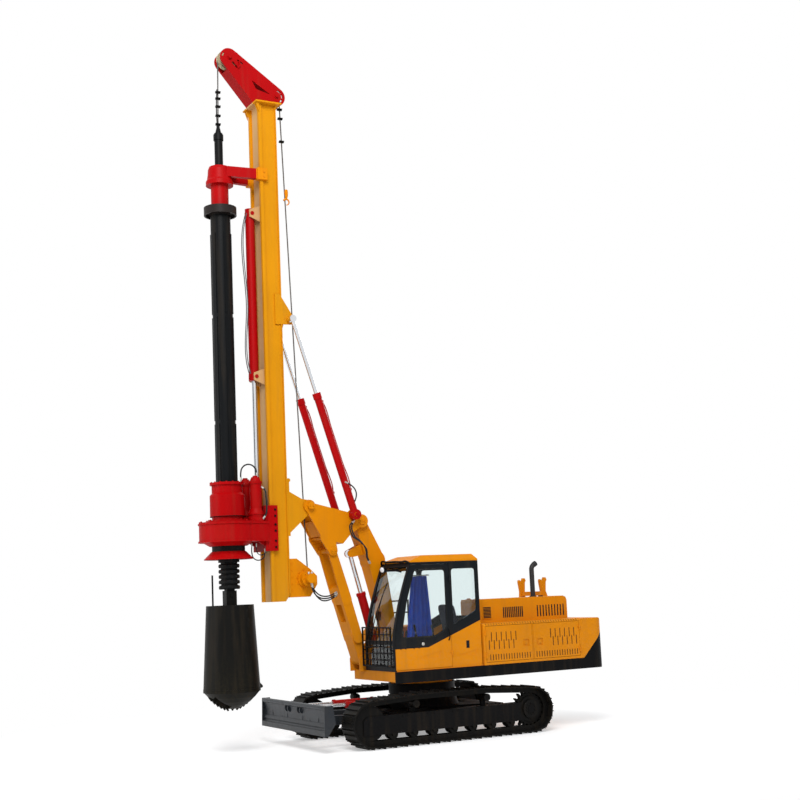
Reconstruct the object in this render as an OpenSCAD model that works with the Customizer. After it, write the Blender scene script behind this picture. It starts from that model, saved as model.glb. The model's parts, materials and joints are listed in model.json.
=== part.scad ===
/* [Crawler] */
// Sprocket centre to idler centre
tumbler_base = 3000; // [2800:10:3300]
// Width over both tracks
track_span = 2520; // [2450:10:2800]
// Width of a track shoe
shoe_w = 420; // [380:10:480]
// Number of shoes in each track
shoe_count = 42; // [36:1:44]
// Radius of the track round sprocket and idler, at the inner face of the shoes
wrap_r = 343; // [320:1:360]
// Height of the chain links under the shoes
link_h = 80; // [70:1:84]
// Thickness of a shoe plate
shoe_t = 15; // [10:1:20]
// Height of the grouser bars on a shoe
grouser_h = 25; // [15:1:32]
// Number of bottom rollers on each side
roller_count = 7; // [5:1:8]
// Number of teeth on the drive sprocket
tooth_count = 21; // [17:1:24]

/* [Blade] */
// Width of the dozer blade
blade_w = 2480; // [2300:10:2500]
// Height of the dozer blade
blade_h = 410; // [360:10:440]
// Height of the cutting edge above the ground
blade_lift = 300; // [260:10:330]

/* [Upper frame] */
// Overall width of the upper frame
upper_w = 2500; // [2440:10:2560]
// Height of the underside of the skirt above the ground
skirt_z = 977; // [960:1:1000]
// Height of the skirt
skirt_h = 180; // [150:5:200]
// Distance of the tail from the slewing axis
tail_x = 2965; // [2900:5:3040]
// Height of the engine hood above the deck
hood_h = 670; // [620:10:720]
// Height of the raised hood above the side doors
hood_up_h = 390; // [340:10:430]
// Thickness of doors, hood and cab panels
panel_t = 30; // [20:1:40]

/* [Cab] */
// Gap between the cab and the rear swing arm
cab_gap = 60; // [55:5:120]
// Height of the cab from deck to the top of its roof
cab_h = 1820; // [1760:10:1900]
// Thickness of the glass
glass_t = 8; // [5:1:12]
// Width of the cab pillars
pillar_w = 62; // [50:1:80]

/* [Boom] */
// Length of the two swing arms of the parallelogram
arm_len = 1876; // [1800:5:1950]
// Angle of the swing arms above horizontal
arm_angle = 73.6; // [70:0.1:78]
// Half width of the rear swing arm
leg_hw = 150; // [130:1:155]
// Half width of the boom head
head_hw = 240; // [225:1:250]
// Radius of the main boom pins
pin_r = 45; // [35:1:50]
// Radius of the mast cylinder barrels
mast_cyl_r = 62; // [50:1:70]
// Radius of the mast cylinder rods
mast_rod_r = 36; // [28:1:45]

/* [Mast] */
// Height of the foot of the mast above the ground
mast_z0 = 2330; // [2250:10:2400]
// Height of the top of the mast above the ground
mast_z1 = 10630; // [10100:10:10900]
// Depth of the mast box from front to back
mast_d = 290; // [260:5:320]
// Width of the mast box
mast_w = 370; // [340:5:390]
// Width of a guide rail
rail_w = 60; // [50:1:70]
// Radius of the main rope sheave at the front of the mast head
front_sheave_r = 165; // [140:1:175]
// Radius of the rope sheave at the rear of the mast head
rear_sheave_r = 130; // [110:1:140]

/* [Drill] */
// Distance from the slewing axis to the drill axis
drill_x = 3410; // [3390:5:3450]
// Radius of the outer kelly tube
kelly_r = 165; // [150:1:168]
// Radius of the inner kelly tube
inner_kelly_r = 69; // [55:1:75]
// Outer radius of the drive housing
housing_r = 280; // [260:1:300]
// Half width of the gear case round the kelly
gear_r = 460; // [430:5:480]
// Radius of the drilling bucket at its top
bucket_r1 = 376; // [340:1:400]
// Radius of the drilling bucket at its bottom
bucket_r0 = 445; // [420:1:460]
// Height of the drilling bucket
bucket_h = 1290; // [1150:10:1320]
// Thickness of the bucket wall
bucket_t = 16; // [12:1:25]

/* [Hidden] */
$fn = 40;

amber = "#dE940F";
crimson = "#a8000a";
slate = "#3a4450";
black = "#1c1d1f";
chrome = "#c9ced2";

run_gap = 0.5;      // running gap between parts that slide or turn on each other
free_gap = 6;       // gap between parts that pass each other
rod_gap = 0.4;      // radial gap of a rod in its barrel
pin_gap = 0.1;      // radial gap of a pin in its eye

// crawler places: the sprocket is at the rear
side_y = track_span / 2 - shoe_w / 2;
ground_r = wrap_r + shoe_t + grouser_h;
tumbler_z = ground_r;
sprocket_x = 70 - tumbler_base / 2;
idler_x = sprocket_x + tumbler_base;
carrier_r = 60;
carrier_rise = 250;                       // carrier roller centre above the tumblers
rail_in = 45;                             // link rails: inner and outer half spacing
rail_out = 80;
frame_hw = 100;                           // half width of a track frame
frame_z0 = tumbler_z - 173;
frame_z1 = tumbler_z + 117;
roller_r = 80;
roller_z = ground_r - wrap_r + link_h + roller_r + run_gap;
roller_x0 = sprocket_x + 400;
roller_x1 = idler_x - 400;
wheel_r = wrap_r - link_h - 4;            // idler tread radius

// the track runs over four circles: sprocket, rear carrier, front carrier, idler
loop = [[sprocket_x, tumbler_z, wrap_r],
        [sprocket_x + 840, tumbler_z + carrier_rise, carrier_r + link_h + 7],
        [idler_x - 830, tumbler_z + carrier_rise, carrier_r + link_h + 7],
        [idler_x, tumbler_z, wrap_r]];

function bearing(p, q) = atan2(q[1] - p[1], q[0] - p[0]);
function flat(p) = [p[0], p[1]];
function turn(v, a) = [v[0] * cos(a) - v[1] * sin(a), v[0] * sin(a) + v[1] * cos(a)];
function gap_of(p, q) = norm(flat(q) - flat(p));
// outer normal of the straight run from circle i to the next one
function run_normal(i) =
  i == 3 ? -90 : bearing(loop[i], loop[i + 1]) + acos((loop[i][2] - loop[i + 1][2]) / gap_of(loop[i],
    loop[i + 1]));
function arc_start(i) = i == 0 ? 270 : run_normal(i - 1);
function arc_len(i) = loop[i][2] * (arc_start(i) - run_normal(i)) * PI / 180;
function run_len(i) =
  let (j = (i + 1) % 4, d = gap_of(loop[i], loop[j]), dr = loop[i][2] - loop[j][2]) sqrt(d * d - dr * dr);
loop_len = arc_len(0) + run_len(0) + arc_len(1) + run_len(1) + arc_len(2) + run_len(2)
  + arc_len(3) + run_len(3);
shoe_pitch = loop_len / shoe_count;
// place on the loop after a length s: [x, z, outer normal]
function on_loop(s, i = 0) =
  let (c = loop[i], a = arc_start(i), n = run_normal(i), la = arc_len(i), lr = run_len(i))
  s <= la
    ? let (t = a - s / c[2] * 180 / PI) [c[0] + c[2] * cos(t), c[1] + c[2] * sin(t), t]
    : s <= la + lr || i == 3
      ? [c[0] + c[2] * cos(n) + (s - la) * sin(n), c[1] + c[2] * sin(n) - (s - la) * cos(n), n]
      : on_loop(s - la - lr, i + 1);
// a point u along the travel and h outward of the loop at length s
function off_loop(s, u, h) =
  let (p = on_loop(s)) [p[0] + u * sin(p[2]) + h * cos(p[2]), p[1] - u * cos(p[2]) + h * sin(p[2])];

// boom places in the side view, x forward and z up
rear_foot = [600, 1800];
front_foot = [1150, 1320];
arm_vec = arm_len * [cos(arm_angle), sin(arm_angle)];
rear_top = rear_foot + arm_vec;
front_top = front_foot + arm_vec;
mast_pin = rear_top + [945, 256];
mast_cyl_foot = rear_top + [170, 100];
mast_cyl_reach = 3084;                    // mast cylinder bracket above the mast pin
mast_cyl_top = mast_pin + [245, mast_cyl_reach];
luff_foot = [800, 1350];
luff_top = [1265, 3070];
mast_xr = 2450;                           // rear face of the mast box
mast_xf = mast_xr + mast_d;
rail_y = mast_w / 2 + 10;                 // middle of a guide rail
cyl_y = head_hw + 90;                     // mast cylinder plane

// upper frame places
deck_z = skirt_z + skirt_h;
deck_xf = 1160;                           // front edge of the deck
skirt_t = 14;
side_xf = 450;                            // front end of the right side
hood_x0 = -2470;                          // hood ends at the counterweight
hood_x1 = -500;
door_split = -1470;
door_y = upper_w / 2;
hood_z = deck_z + hood_h;
hood_edge = 34;                           // chamfer along the top of the doors
up_x0 = -2490;                            // raised hood over the engine, on the left
up_x1 = -700;
up_y0 = 250;
up_y1 = 850;
up_z = hood_z + hood_up_h;
corner_r = 200;                           // corners of the counterweight
cab_y1 = upper_w / 2 - 30;
cab_y0 = leg_hw + cab_gap;
cab_z0 = deck_z;
sill_z = cab_z0 + 350;                    // belt line of the cab at the front
belt_x = 525;                             // from here the belt line climbs to the rear
roof_z = deck_z + cab_h - 110;            // underside of the roof
glass_z0 = cab_z0 + 450;                  // the curved windscreen starts here
cab_xr = -475;
cab_xf = 1145;
cab_xt = 790;                             // top of the front pillar
b_pillar_x = 70;

// drill places
head_z0 = 3300;                           // underside of the gear case
head_z1 = 3650;                           // top of the gear case
ring_z0 = 8665;                           // ring under the kelly guide
ring_h = 135;
bucket_z1 = 2310;
bucket_z0 = bucket_z1 - bucket_h;
door_hinge_r = bucket_r0 + 34;            // hinge of the bucket's bottom, from the drill axis
bore_r = kelly_r + 17;                    // drive bore: kelly, its keys and a gap
crowd_x = mast_xf + 150;
crowd_r = 78;
crowd_rod_r = 42;
crowd_eye_z = head_z1 + 560;
crowd_z0 = 5930;
crowd_z1 = 8830;

// ---- shared shapes ----
// side view outline, x and z, extruded across the machine from y0 to y1
module across(y0, y1) translate([0, y1, 0]) rotate([90, 0, 0]) linear_extrude(y1 - y0) children();
// front view outline, y and z, extruded along the machine from x0 to x1
module along(x0, x1) translate([x0, 0, 0]) rotate([90, 0, 90]) linear_extrude(x1 - x0) children();
module both() { children(); mirror([0, 1, 0]) children(); }
module rod_y(p, r, y0, y1) translate([p[0], y0, p[1]]) rotate([-90, 0, 0]) cylinder(r = r, h = y1 - y0);
module block(lo, hi) translate(lo) cube(hi - lo);
// outline with its corners rounded over a length r of each side
function rounded(pts, r, n = 4) = let (m = len(pts)) [for (i = [0 : m - 1], k = [0 : n])
  let (q = pts[i], p = pts[(i + m - 1) % m], s = pts[(i + 1) % m], t = k / n,
       a = q + r * (p - q) / norm(p - q), b = q + r * (s - q) / norm(s - q))
  (1 - t) * (1 - t) * a + 2 * t * (1 - t) * q + t * t * b];
// outline of a plate round two bosses
module link2d(p, q, rp, rq) {
  a = bearing(p, q);
  b = acos((rp - rq) / gap_of(p, q));
  polygon([flat(p) + rp * [cos(a + b), sin(a + b)], flat(q) + rq * [cos(a + b), sin(a + b)],
           flat(q) + rq * [cos(a - b), sin(a - b)], flat(p) + rp * [cos(a - b), sin(a - b)]]);
  translate(flat(p)) circle(r = rp);
  translate(flat(q)) circle(r = rq);
}
// round bar from p to q in the side view, at height y across
module bar(p, q, r, y, from = 0, to = 1)
  translate([p[0], y, p[1]]) rotate([0, 90 - bearing(p, q), 0])
    translate([0, 0, from * gap_of(p, q)]) cylinder(r = r, h = (to - from) * gap_of(p, q));
// eye at one end of a cylinder: disc across y with its pin hole
module eye(p, r, hole, y, hw) difference() {
  rod_y(p, r, y - hw, y + hw);
  rod_y(p, hole, y - hw - 1, y + hw + 1);
}

// ---- crawler ----
module car_body() color(black) {
  translate([0, 0, frame_z0 + 40]) linear_extrude(frame_z1 - frame_z0 - 30) {
    for (sx = [-1, 1], sy = [-1, 1]) link2d([0, 0], [sx * 880, sy * (side_y - frame_hw - 150)], 420, 130);
    for (sx = [-1, 1]) translate([sx * 880 - 130, -(side_y - frame_hw)])
      square([260, 2 * (side_y - frame_hw)]);
  }
  translate([0, 0, frame_z1]) cylinder(r1 = 620, r2 = 540, h = 220);
  translate([0, 0, frame_z1 + 220]) difference() {
    cylinder(r = 560, h = skirt_z - 90 - frame_z1 - 220);
    translate([0, 0, -1]) cylinder(r = 400, h = 400);
  }
  // towing eye at the rear, its pin stands upright
  translate([0, 0, frame_z1 - 100]) linear_extrude(40) difference() {
    link2d([-tow_x + 170, 0], [-tow_x, 0], 80, 60);
    translate([-tow_x, 0]) circle(r = 30);
  }
  // lugs for the blade arms and the blade cylinders
  both() for (y = [470, 590]) across(y, y + 30) link2d(blade_pin, [blade_pin[0] - 150, blade_pin[1]], 70, 90);
  both() rod_y(blade_pin, 32, 470, 620);
  both() for (y = [blade_cyl_y - 75, blade_cyl_y + 50]) across(y, y + 25)
    link2d(blade_cyl_foot, [blade_cyl_foot[0] - 210, frame_z1], 50, 80);
  both() rod_y(blade_cyl_foot, 25, blade_cyl_y - 75, blade_cyl_y + 75);
}
tow_x = 1110;                             // towing eye behind the slewing axis
blade_pin = [1130, tumbler_z + 30];
blade_cyl_foot = [800, frame_z1 + 130];
blade_cyl_y = 237.5;                      // blade cylinder plane

module track_frames() color(black) both() translate([0, side_y, 0]) {
  difference() {
    across(-frame_hw, frame_hw) {
      polygon([[sprocket_x + 190, frame_z0], [idler_x + 130, frame_z0], [idler_x + 130, frame_z1 - 60],
               [idler_x + 60, frame_z1], [sprocket_x + 190, frame_z1]]);
      translate([sprocket_x + 190, (frame_z0 + frame_z1) / 2]) circle(r = (frame_z1 - frame_z0) / 2);
    }
    // open underneath for the rollers
    block([sprocket_x + 250, -frame_hw + 20, frame_z0 - 1],
      [idler_x - wheel_r - 40, frame_hw - 20, roller_z + roller_r + 8]);
    // idler fork
    block([idler_x - wheel_r - 60, -rail_out - 6, frame_z0 - 1], [idler_x + 200, rail_out + 6, frame_z1 + 1]);
    // room for the sprocket and its hub
    rod_y([sprocket_x, tumbler_z], wrap_r - 10, -rail_out, rail_out + 1);
    rod_y([sprocket_x, tumbler_z], 215, -rail_out - 4, frame_hw + 1);
    rod_y([idler_x, tumbler_z], 40 + pin_gap, -frame_hw - 1, frame_hw + 1);
    for (i = [0 : roller_count - 1])
      rod_y([roller_x0 + i * (roller_x1 - roller_x0) / (roller_count - 1), roller_z], 28 + pin_gap,
        -frame_hw - 1, frame_hw + 1);
  }
  // final drive carrier behind the sprocket, on the inner side
  rod_y([sprocket_x, tumbler_z], 190, -frame_hw - 60, -rail_out - 4);
  block([sprocket_x, -frame_hw - 30, tumbler_z - 100], [sprocket_x + 300, -rail_out - 4, tumbler_z + 100]);
  // carrier roller posts
  for (c = [loop[1], loop[2]]) {
    block([c[0] - 45, -frame_hw, frame_z1 - 5], [c[0] + 45, -frame_hw + 40, c[1] + 30]);
    rod_y(c, 24, -frame_hw + 39, rail_out);
  }
}
module track() color(black) {
  edge = shoe_pitch / 2 - 4;
  // columns: place along the shoe, height above its inner face
  shoe = [[-edge, 3], [-edge, shoe_t + grouser_h * 0.6], [16 - edge, shoe_t], [-9, shoe_t],
    [-5, shoe_t + grouser_h],
          [5, shoe_t + grouser_h], [9, shoe_t], [edge - 16, shoe_t], [edge, shoe_t + grouser_h * 0.6],
            [edge, 3]];
  outer = [for (i = [0 : shoe_count - 1]) for (p = shoe) off_loop((i + 0.5) * shoe_pitch, p[0], p[1])];
  inner = [for (i = [0 : shoe_count - 1]) off_loop(i * shoe_pitch, 0, 0)];
  chain = [for (i = [0 : 2 * shoe_count - 1]) off_loop(i * shoe_pitch / 2, 0, -link_h)];
  over = [for (i = [0 : 2 * shoe_count - 1]) off_loop(i * shoe_pitch / 2, 0, 2)];
  m = len(outer);
  n = len(inner);
  k = len(chain);
  across(-shoe_w / 2, shoe_w / 2)
    polygon(concat(outer, inner), [[for (i = [0 : m - 1]) i], [for (i = [0 : n - 1]) m + i]]);
  both() across(rail_in, rail_out)
    polygon(concat(over, chain), [[for (i = [0 : k - 1]) i], [for (i = [0 : k - 1]) k + i]]);
}
module track_left() translate([0, side_y, 0]) track();
module track_right() translate([0, -side_y, 0]) track();

module sprockets() color(black) both() translate([0, side_y, 0]) {
  root = wheel_r - 12;
  tip = wrap_r - 22;
  across(-rail_in + 12, rail_in - 12) translate([sprocket_x, tumbler_z]) {
    circle(r = root);
    for (i = [0 : tooth_count - 1]) rotate(i * 360 / tooth_count)
      polygon([[root - 6, -24], [tip, -9], [tip, 9], [root - 6, 24]]);
  }
  rod_y([sprocket_x, tumbler_z], 205, -rail_out - 4 + run_gap, 60);
  rod_y([sprocket_x, tumbler_z], 150, 60, 95);
}
module rollers() color(black) both() translate([0, side_y, 0]) {
  for (i = [0 : roller_count - 1]) {
    c = [roller_x0 + i * (roller_x1 - roller_x0) / (roller_count - 1), roller_z];
    rod_y(c, roller_r - 16, -frame_hw + 22, frame_hw - 22);
    both() rod_y(c, roller_r, rail_in - 8, frame_hw - 22);
    rod_y(c, 28, -frame_hw - 6, frame_hw + 6);
  }
  for (c = [loop[1], loop[2]]) difference() {
    rod_y(c, carrier_r, -frame_hw + 42, rail_out + 4);
    rod_y(c, 24 + pin_gap, -frame_hw, frame_hw);
  }
  rod_y([idler_x, tumbler_z], wheel_r - 45, -rail_out + 2, rail_out - 2);
  both() rod_y([idler_x, tumbler_z], wheel_r, rail_in - 5, rail_out);
  rod_y([idler_x, tumbler_z], wheel_r + 22, -rail_in + 7, rail_in - 7);
  rod_y([idler_x, tumbler_z], 40, -frame_hw - 8, frame_hw + 8);
}

// ---- blade ----
blade_x = 2410;                           // cutting edge
blade_r = 430;                            // curve of the mouldboard
blade_face = [blade_x + blade_r * 0.86, blade_lift + blade_h * 0.5];
blade_cyl_top = [2180, blade_lift + blade_h - 70];
module blade() color("#6d7a86") {
  // curved mouldboard with its cutting edge and top tube
  intersection() {
    difference() {
      rod_y(blade_face, blade_r + 22, -blade_w / 2, blade_w / 2);
      rod_y(blade_face, blade_r, -blade_w / 2 - 1, blade_w / 2 + 1);
    }
    block([blade_x - 120, -blade_w / 2, blade_lift], [blade_x + 60, blade_w / 2, blade_lift + blade_h]);
  }
  block([blade_x - 30, -blade_w / 2, blade_lift - 25], [blade_x + 2, blade_w / 2, blade_lift + 60]);
  rod_y([blade_x - 45, blade_lift + blade_h - 15], 38, -blade_w / 2, blade_w / 2);
  rod_y([blade_x - 95, blade_lift + 120], 60, -blade_w / 2 + 10, blade_w / 2 - 10);
  // end plates
  both() across(blade_w / 2 - 14, blade_w / 2)
    polygon([[blade_x + 2, blade_lift - 25], [blade_x + 2, blade_lift + 40],
      [blade_x - 10, blade_lift + blade_h + 20],
             [blade_x - 150, blade_lift + blade_h + 20], [blade_x - 190, blade_lift + 150],
               [blade_x - 60, blade_lift - 25]]);
  // ribs behind the board
  for (y = [-900, -300, 300, 900]) across(y - 8, y + 8)
    polygon([[blade_x - 40, blade_lift + 40], [blade_x - 70, blade_lift + blade_h - 20],
             [blade_x - 120, blade_lift + blade_h - 60], [blade_x - 150, blade_lift + 120]]);
  // push arms
  both() difference() {
    across(506, 584) {
      link2d(blade_pin, [blade_x - 130, blade_lift + 150], 62, 80);
    }
    rod_y(blade_pin, 32 + pin_gap, 490, 600);
  }
  // cylinder ears
  both() for (y = [blade_cyl_y - 67.5, blade_cyl_y + 42.5]) across(y, y + 25)
    link2d(blade_cyl_top, [blade_x - 70, blade_cyl_top[1] - 20], 42, 60);
}
module blade_barrels() color(crimson) both() {
  eye(blade_cyl_foot, 42, 25 + pin_gap, blade_cyl_y, 43);
  barrel(blade_cyl_foot, blade_cyl_top, 45, 24 + rod_gap, blade_cyl_y, 0.0285, 0.55);
}
module blade_rods() color(chrome) both() {
  eye(blade_cyl_top, 36, 20, blade_cyl_y, 37);
  bar(blade_cyl_foot, blade_cyl_top, 24, blade_cyl_y, 0.3, 0.982);
}

// ---- upper frame ----
module deck() color(amber) {
  w = upper_w / 2 - skirt_t;
  // the right side ends behind the boom
  translate([0, 0, skirt_z + 23]) linear_extrude(skirt_h - 23)
    polygon([[hood_x0, -w], [side_xf, -w], [side_xf, -900],
    [deck_xf, -leg_hw - 40], [deck_xf, w], [hood_x0, w]]);
  block([-tail_x + 340, -900, skirt_z + 80], [hood_x0 + 1, 900, deck_z]);
  translate([0, 0, skirt_z - 90 + run_gap]) cylinder(r = 520, h = 90 + 30);
  // pedestal cheeks for the swing arms and the luffing cylinder
  both() difference() {
    across(leg_hw + 3, leg_hw + 33) {
      polygon([[rear_foot[0] - 420, deck_z - 20], [front_foot[0] + 90, deck_z - 20], front_foot + [95, 20],
               front_foot + [0, 95], rear_foot + [95, 10], rear_foot + [-95, 0]]);
      translate(rear_foot) circle(r = 95);
      translate(front_foot) circle(r = 95);
    }
    rod_y(rear_foot, pin_r + pin_gap, 0, 400);
    rod_y(front_foot, pin_r + pin_gap, 0, 400);
    rod_y(luff_foot, 38 + pin_gap, 0, 400);
  }
}
// the counterweight's full outline, and its lower corner that carries on the skirt
module tail_solid() difference() {
  intersection() {
    translate([0, 0, skirt_z]) linear_extrude(hood_z) {
      translate([-tail_x + corner_r, -upper_w / 2]) square([hood_x0 + tail_x - corner_r, upper_w]);
      translate([-tail_x, -upper_w / 2 + corner_r]) square([300, upper_w - 2 * corner_r]);
      for (s = [-1, 1]) translate([-tail_x + corner_r, s * (upper_w / 2 - corner_r)]) circle(r = corner_r);
    }
    across(-upper_w, upper_w) polygon([[hood_x0, skirt_z], [hood_x0, hood_z - 5], [-tail_x + 110, hood_z - 5],
      [-tail_x + 45, hood_z - 30], [-tail_x, hood_z - 95], [-tail_x, skirt_z + 45], [-tail_x + 30, skirt_z]]);
  }
  block([-tail_x + 330, -900 - free_gap, skirt_z - 1], [hood_x0 + 1, 900 + free_gap, deck_z]);
}
module tail_corner() across(-upper_w, upper_w) polygon([[hood_x0 + 1, skirt_z - 1], [hood_x0 + 1, deck_z],
  [hood_x0 - 30, deck_z], [-tail_x + 45, hood_z - 235], [-tail_x - 1, hood_z - 235],
    [-tail_x - 1, skirt_z - 1]]);
module skirt() color(black) {
  block([hood_x0, upper_w / 2 - skirt_t, skirt_z], [deck_xf, upper_w / 2, deck_z]);
  block([hood_x0, -upper_w / 2, skirt_z], [side_xf, -upper_w / 2 + skirt_t, deck_z]);
  intersection() {
    tail_solid();
    tail_corner();
  }
}

// the cab in the side view: the front curves back towards the roof
function front_x(z) = cab_xf - (cab_xf - cab_xt) * pow(max(0, (z - glass_z0) / (roof_z - glass_z0)), 1.45);
function front_curve(in, top, drop = 0) = [for (i = [6 : -1 : 0])
  let (z = min(glass_z0 + i * (roof_z - glass_z0) / 6, top)) [front_x(z) - in, z - drop]];
function cab_outline(in = 0) = concat([[cab_xr + in, cab_z0 + in], [cab_xr + in, roof_z - in]],
  front_curve(in, roof_z - in), [[cab_xf - in, cab_z0 + in]]);
door_x0 = b_pillar_x + 22;
door_z0 = cab_z0 + 22;
door_z1 = roof_z - 45;
rail = 22;                                // door edge behind the front of the cab
// door outline, shrunk by "in" all round
function door_outline(in = 0) = concat([[door_x0 + in, door_z0 + in], [door_x0 + in, door_z1 - in]],
  front_curve(rail + in, door_z1 - in), [[cab_xf - rail - in, door_z0 + in]]);
function door_window() = rounded([[door_x0 + pillar_w, sill_z + 275], [door_x0 + pillar_w, door_z1 - 50],
  [front_x(door_z1) - 85, door_z1 - 50], [front_x(sill_z + 740) - 112, sill_z + 740],
  [cab_xf - 130, sill_z + 165], [belt_x - 110, sill_z + 150]], 70);
function quarter_window() = rounded([[cab_xr + pillar_w, sill_z + 553], [cab_xr + pillar_w, roof_z - 125],
  [b_pillar_x - 30, roof_z - 125], [b_pillar_x - 30, sill_z + 328]], 50);
function right_window() = rounded([[b_pillar_x + 60, sill_z + 230], [b_pillar_x + 60, roof_z - 125],
  [front_x(roof_z) - 60, roof_z - 125], [front_x(sill_z + 700) - 85, sill_z + 700],
    [cab_xf - 85, sill_z + 60], [belt_x, sill_z + 60]], 50);
module cab_walls() difference() {
  across(cab_y0, cab_y1) polygon(cab_outline());
  across(cab_y0 + panel_t, cab_y1 - panel_t) polygon(cab_outline(panel_t));
  across(cab_y1 - panel_t - 1, cab_y1 + 1) polygon(door_outline(-free_gap));
}
// everything under the belt line, up to the front wall
module below_belt() across(cab_y0 - 1, cab_y1 + 1) polygon([[cab_xr - 50, cab_z0 - 5],
  [cab_xr - 50, sill_z + (belt_x - cab_xr + 50) * 0.386], [belt_x, sill_z], [cab_xf - panel_t, sill_z],
  [cab_xf - panel_t, cab_z0 - 5]]);
// door hinge: a fixed knuckle with its leaf, and the moving one that stands on it;
// side is -1 where the fixed leaf lies towards -x
module hinge_fixed(at, side) translate(at) {
  cylinder(r = 12, h = 40);
  block([min(0, side * 34), -13, 2], [max(0, side * 34), -5, 38]);
}
module hinge_moving(at, side) translate(at + [0, 0, 40 + run_gap]) {
  cylinder(r = 12, h = 40);
  block([min(0, side * 34), -13, 2], [max(0, side * 34), -5, 38]);
}
module cab_base() color(amber) {
  difference() {
    intersection() {
      cab_walls();
      below_belt();
    }
    // pressed panel behind the door
    across(cab_y1 - 6, cab_y1 + 1) polygon([[-40, cab_z0 + 195], [cab_xr + 75, cab_z0 + 270],
      [cab_xr + 125, cab_z0 + 180]]);
  }
  hinge_fixed([door_x0 - 3, cab_y1 + 13, cab_z0 + 200], -1);
}
module cab_frame() color(slate) {
  hinge_fixed([door_x0 - 3, cab_y1 + 13, roof_z - 330], -1);
  cab_frame_shell();
}
// band of the curved windscreen, from "in" behind the face to a depth t
module screen_band(in, t) across(cab_y0 + pillar_w, cab_y1 - pillar_w) polygon(concat(
  [for (i = [0 : 6]) let (z = glass_z0 + 30 + i * (roof_z - 70 - glass_z0 - 30) / 6) [front_x(z) - in, z]],
  [for (i = [6 : -1 : 0]) let (z = glass_z0 + 30 + i * (roof_z - 70 - glass_z0 - 30) / 6)
    [front_x(z) - in - t, z]]));
module cab_frame_shell() difference() {
  cab_walls();
  below_belt();
  // windscreen, lower front window
  screen_band(-30, 120);
  block([cab_xf - 90, cab_y0 + pillar_w, cab_z0 + 60], [cab_xf + 20, cab_y1 - pillar_w, glass_z0 - 30]);
  // rear window, right window, quarter windows
  block([cab_xr - 20, cab_y0 + pillar_w, sill_z + 460], [cab_xr + 90, cab_y1 - pillar_w, roof_z - pillar_w]);
  across(cab_y0 - 1, cab_y0 + 90) polygon(right_window());
  for (y = [cab_y0 - 1, cab_y1 - 60]) across(y, y + 61) polygon(quarter_window());
}
module cab_roof() color(amber) difference() {
  across(cab_y0, cab_y1)
    polygon([[cab_xr, roof_z], [cab_xr, roof_z + 25], [cab_xr + 60, roof_z + 110],
      [cab_xt - 260, roof_z + 110],
             [cab_xt + 10, roof_z + 20], [cab_xt + 10, roof_z]]);
  // chamfered long edges
  for (s = [0, 1]) translate([0, s ? cab_y1 : cab_y0, roof_z + 110]) rotate([45, 0, 0])
    translate([-1000, -60, -60]) cube([3000, 120, 120]);
}
module cab_glass() color("lightblue", 0.4) {
  seat = 12;                              // depth of the pane behind the outer face
  screen_band(seat, glass_t);
  block([cab_xf - seat - glass_t, cab_y0 + pillar_w, cab_z0 + 60],
    [cab_xf - seat, cab_y1 - pillar_w, glass_z0 - 30]);
  block([cab_xr + seat, cab_y0 + pillar_w, sill_z + 460],
    [cab_xr + seat + glass_t, cab_y1 - pillar_w, roof_z - pillar_w]);
  across(cab_y0 + seat, cab_y0 + seat + glass_t) polygon(right_window());
  for (y = [cab_y0 + seat, cab_y1 - seat - glass_t]) across(y, y + glass_t) polygon(quarter_window());
}
module cab_seat() color("#2b3a55") {
  y = (cab_y0 + cab_y1) / 2;
  floor_z = cab_z0 + panel_t;
  block([-150, y - 200, floor_z], [330, y + 200, floor_z + 300]);
  block([-180, y - 240, floor_z + 300], [330, y + 240, floor_z + 420]);
  translate([-180, 0, floor_z + 400]) rotate([0, -12, 0]) block([-110, y - 230, -40], [0, y + 230, 640]);
  both_arms = [y - 330, y + 250];
  for (a = both_arms) block([-80, a, floor_z], [360, a + 80, floor_z + 520]);
  // travel levers
  for (a = [y - 70, y + 50]) block([760, a, floor_z], [785, a + 22, floor_z + 640]);
}
module cab_guard() color(black) {
  x = cab_xf + 40;
  z0 = cab_z0 + 70;
  z1 = cab_z0 + 680;
  // frame, stand-offs and the wires of the lower screen guard
  for (z = [z0, z1]) block([x, cab_y0 + 10, z], [x + 22, cab_y1 - 10, z + 22]);
  for (y = [cab_y0 + 10, cab_y1 - 32]) block([x, y, z0], [x + 22, y + 22, z1 + 22]);
  for (y = [cab_y0 + 10, cab_y1 - 32], z = [z0, z0 + 250]) block([cab_xf, y, z], [x + 1, y + 22, z + 22]);
  for (i = [1 : 7]) block([x + 6, cab_y0 + 10 + i * (cab_y1 - cab_y0 - 32) / 8, z0],
    [x + 16, cab_y0 + 22 + i * (cab_y1 - cab_y0 - 32) / 8, z1 + 10]);
  for (i = [1 : 5]) block([x + 6, cab_y0 + 10, z0 + i * (z1 - z0) / 6],
    [x + 16, cab_y1 - 10, z0 + i * (z1 - z0) / 6 + 12]);
}
module cab_door() color(slate) {
  hinge_moving([door_x0 - 3, cab_y1 + 13, roof_z - 330], 1);
  difference() {
    across(cab_y1 - panel_t, cab_y1) polygon(door_outline());
    across(cab_y1 - panel_t - 1, cab_y1 + 1) polygon(door_window());
    below_belt();
    block([cab_xf - panel_t - 1, cab_y0, door_z0 - 5], [cab_xf, cab_y1 + 1, sill_z]);
  }
}
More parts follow.
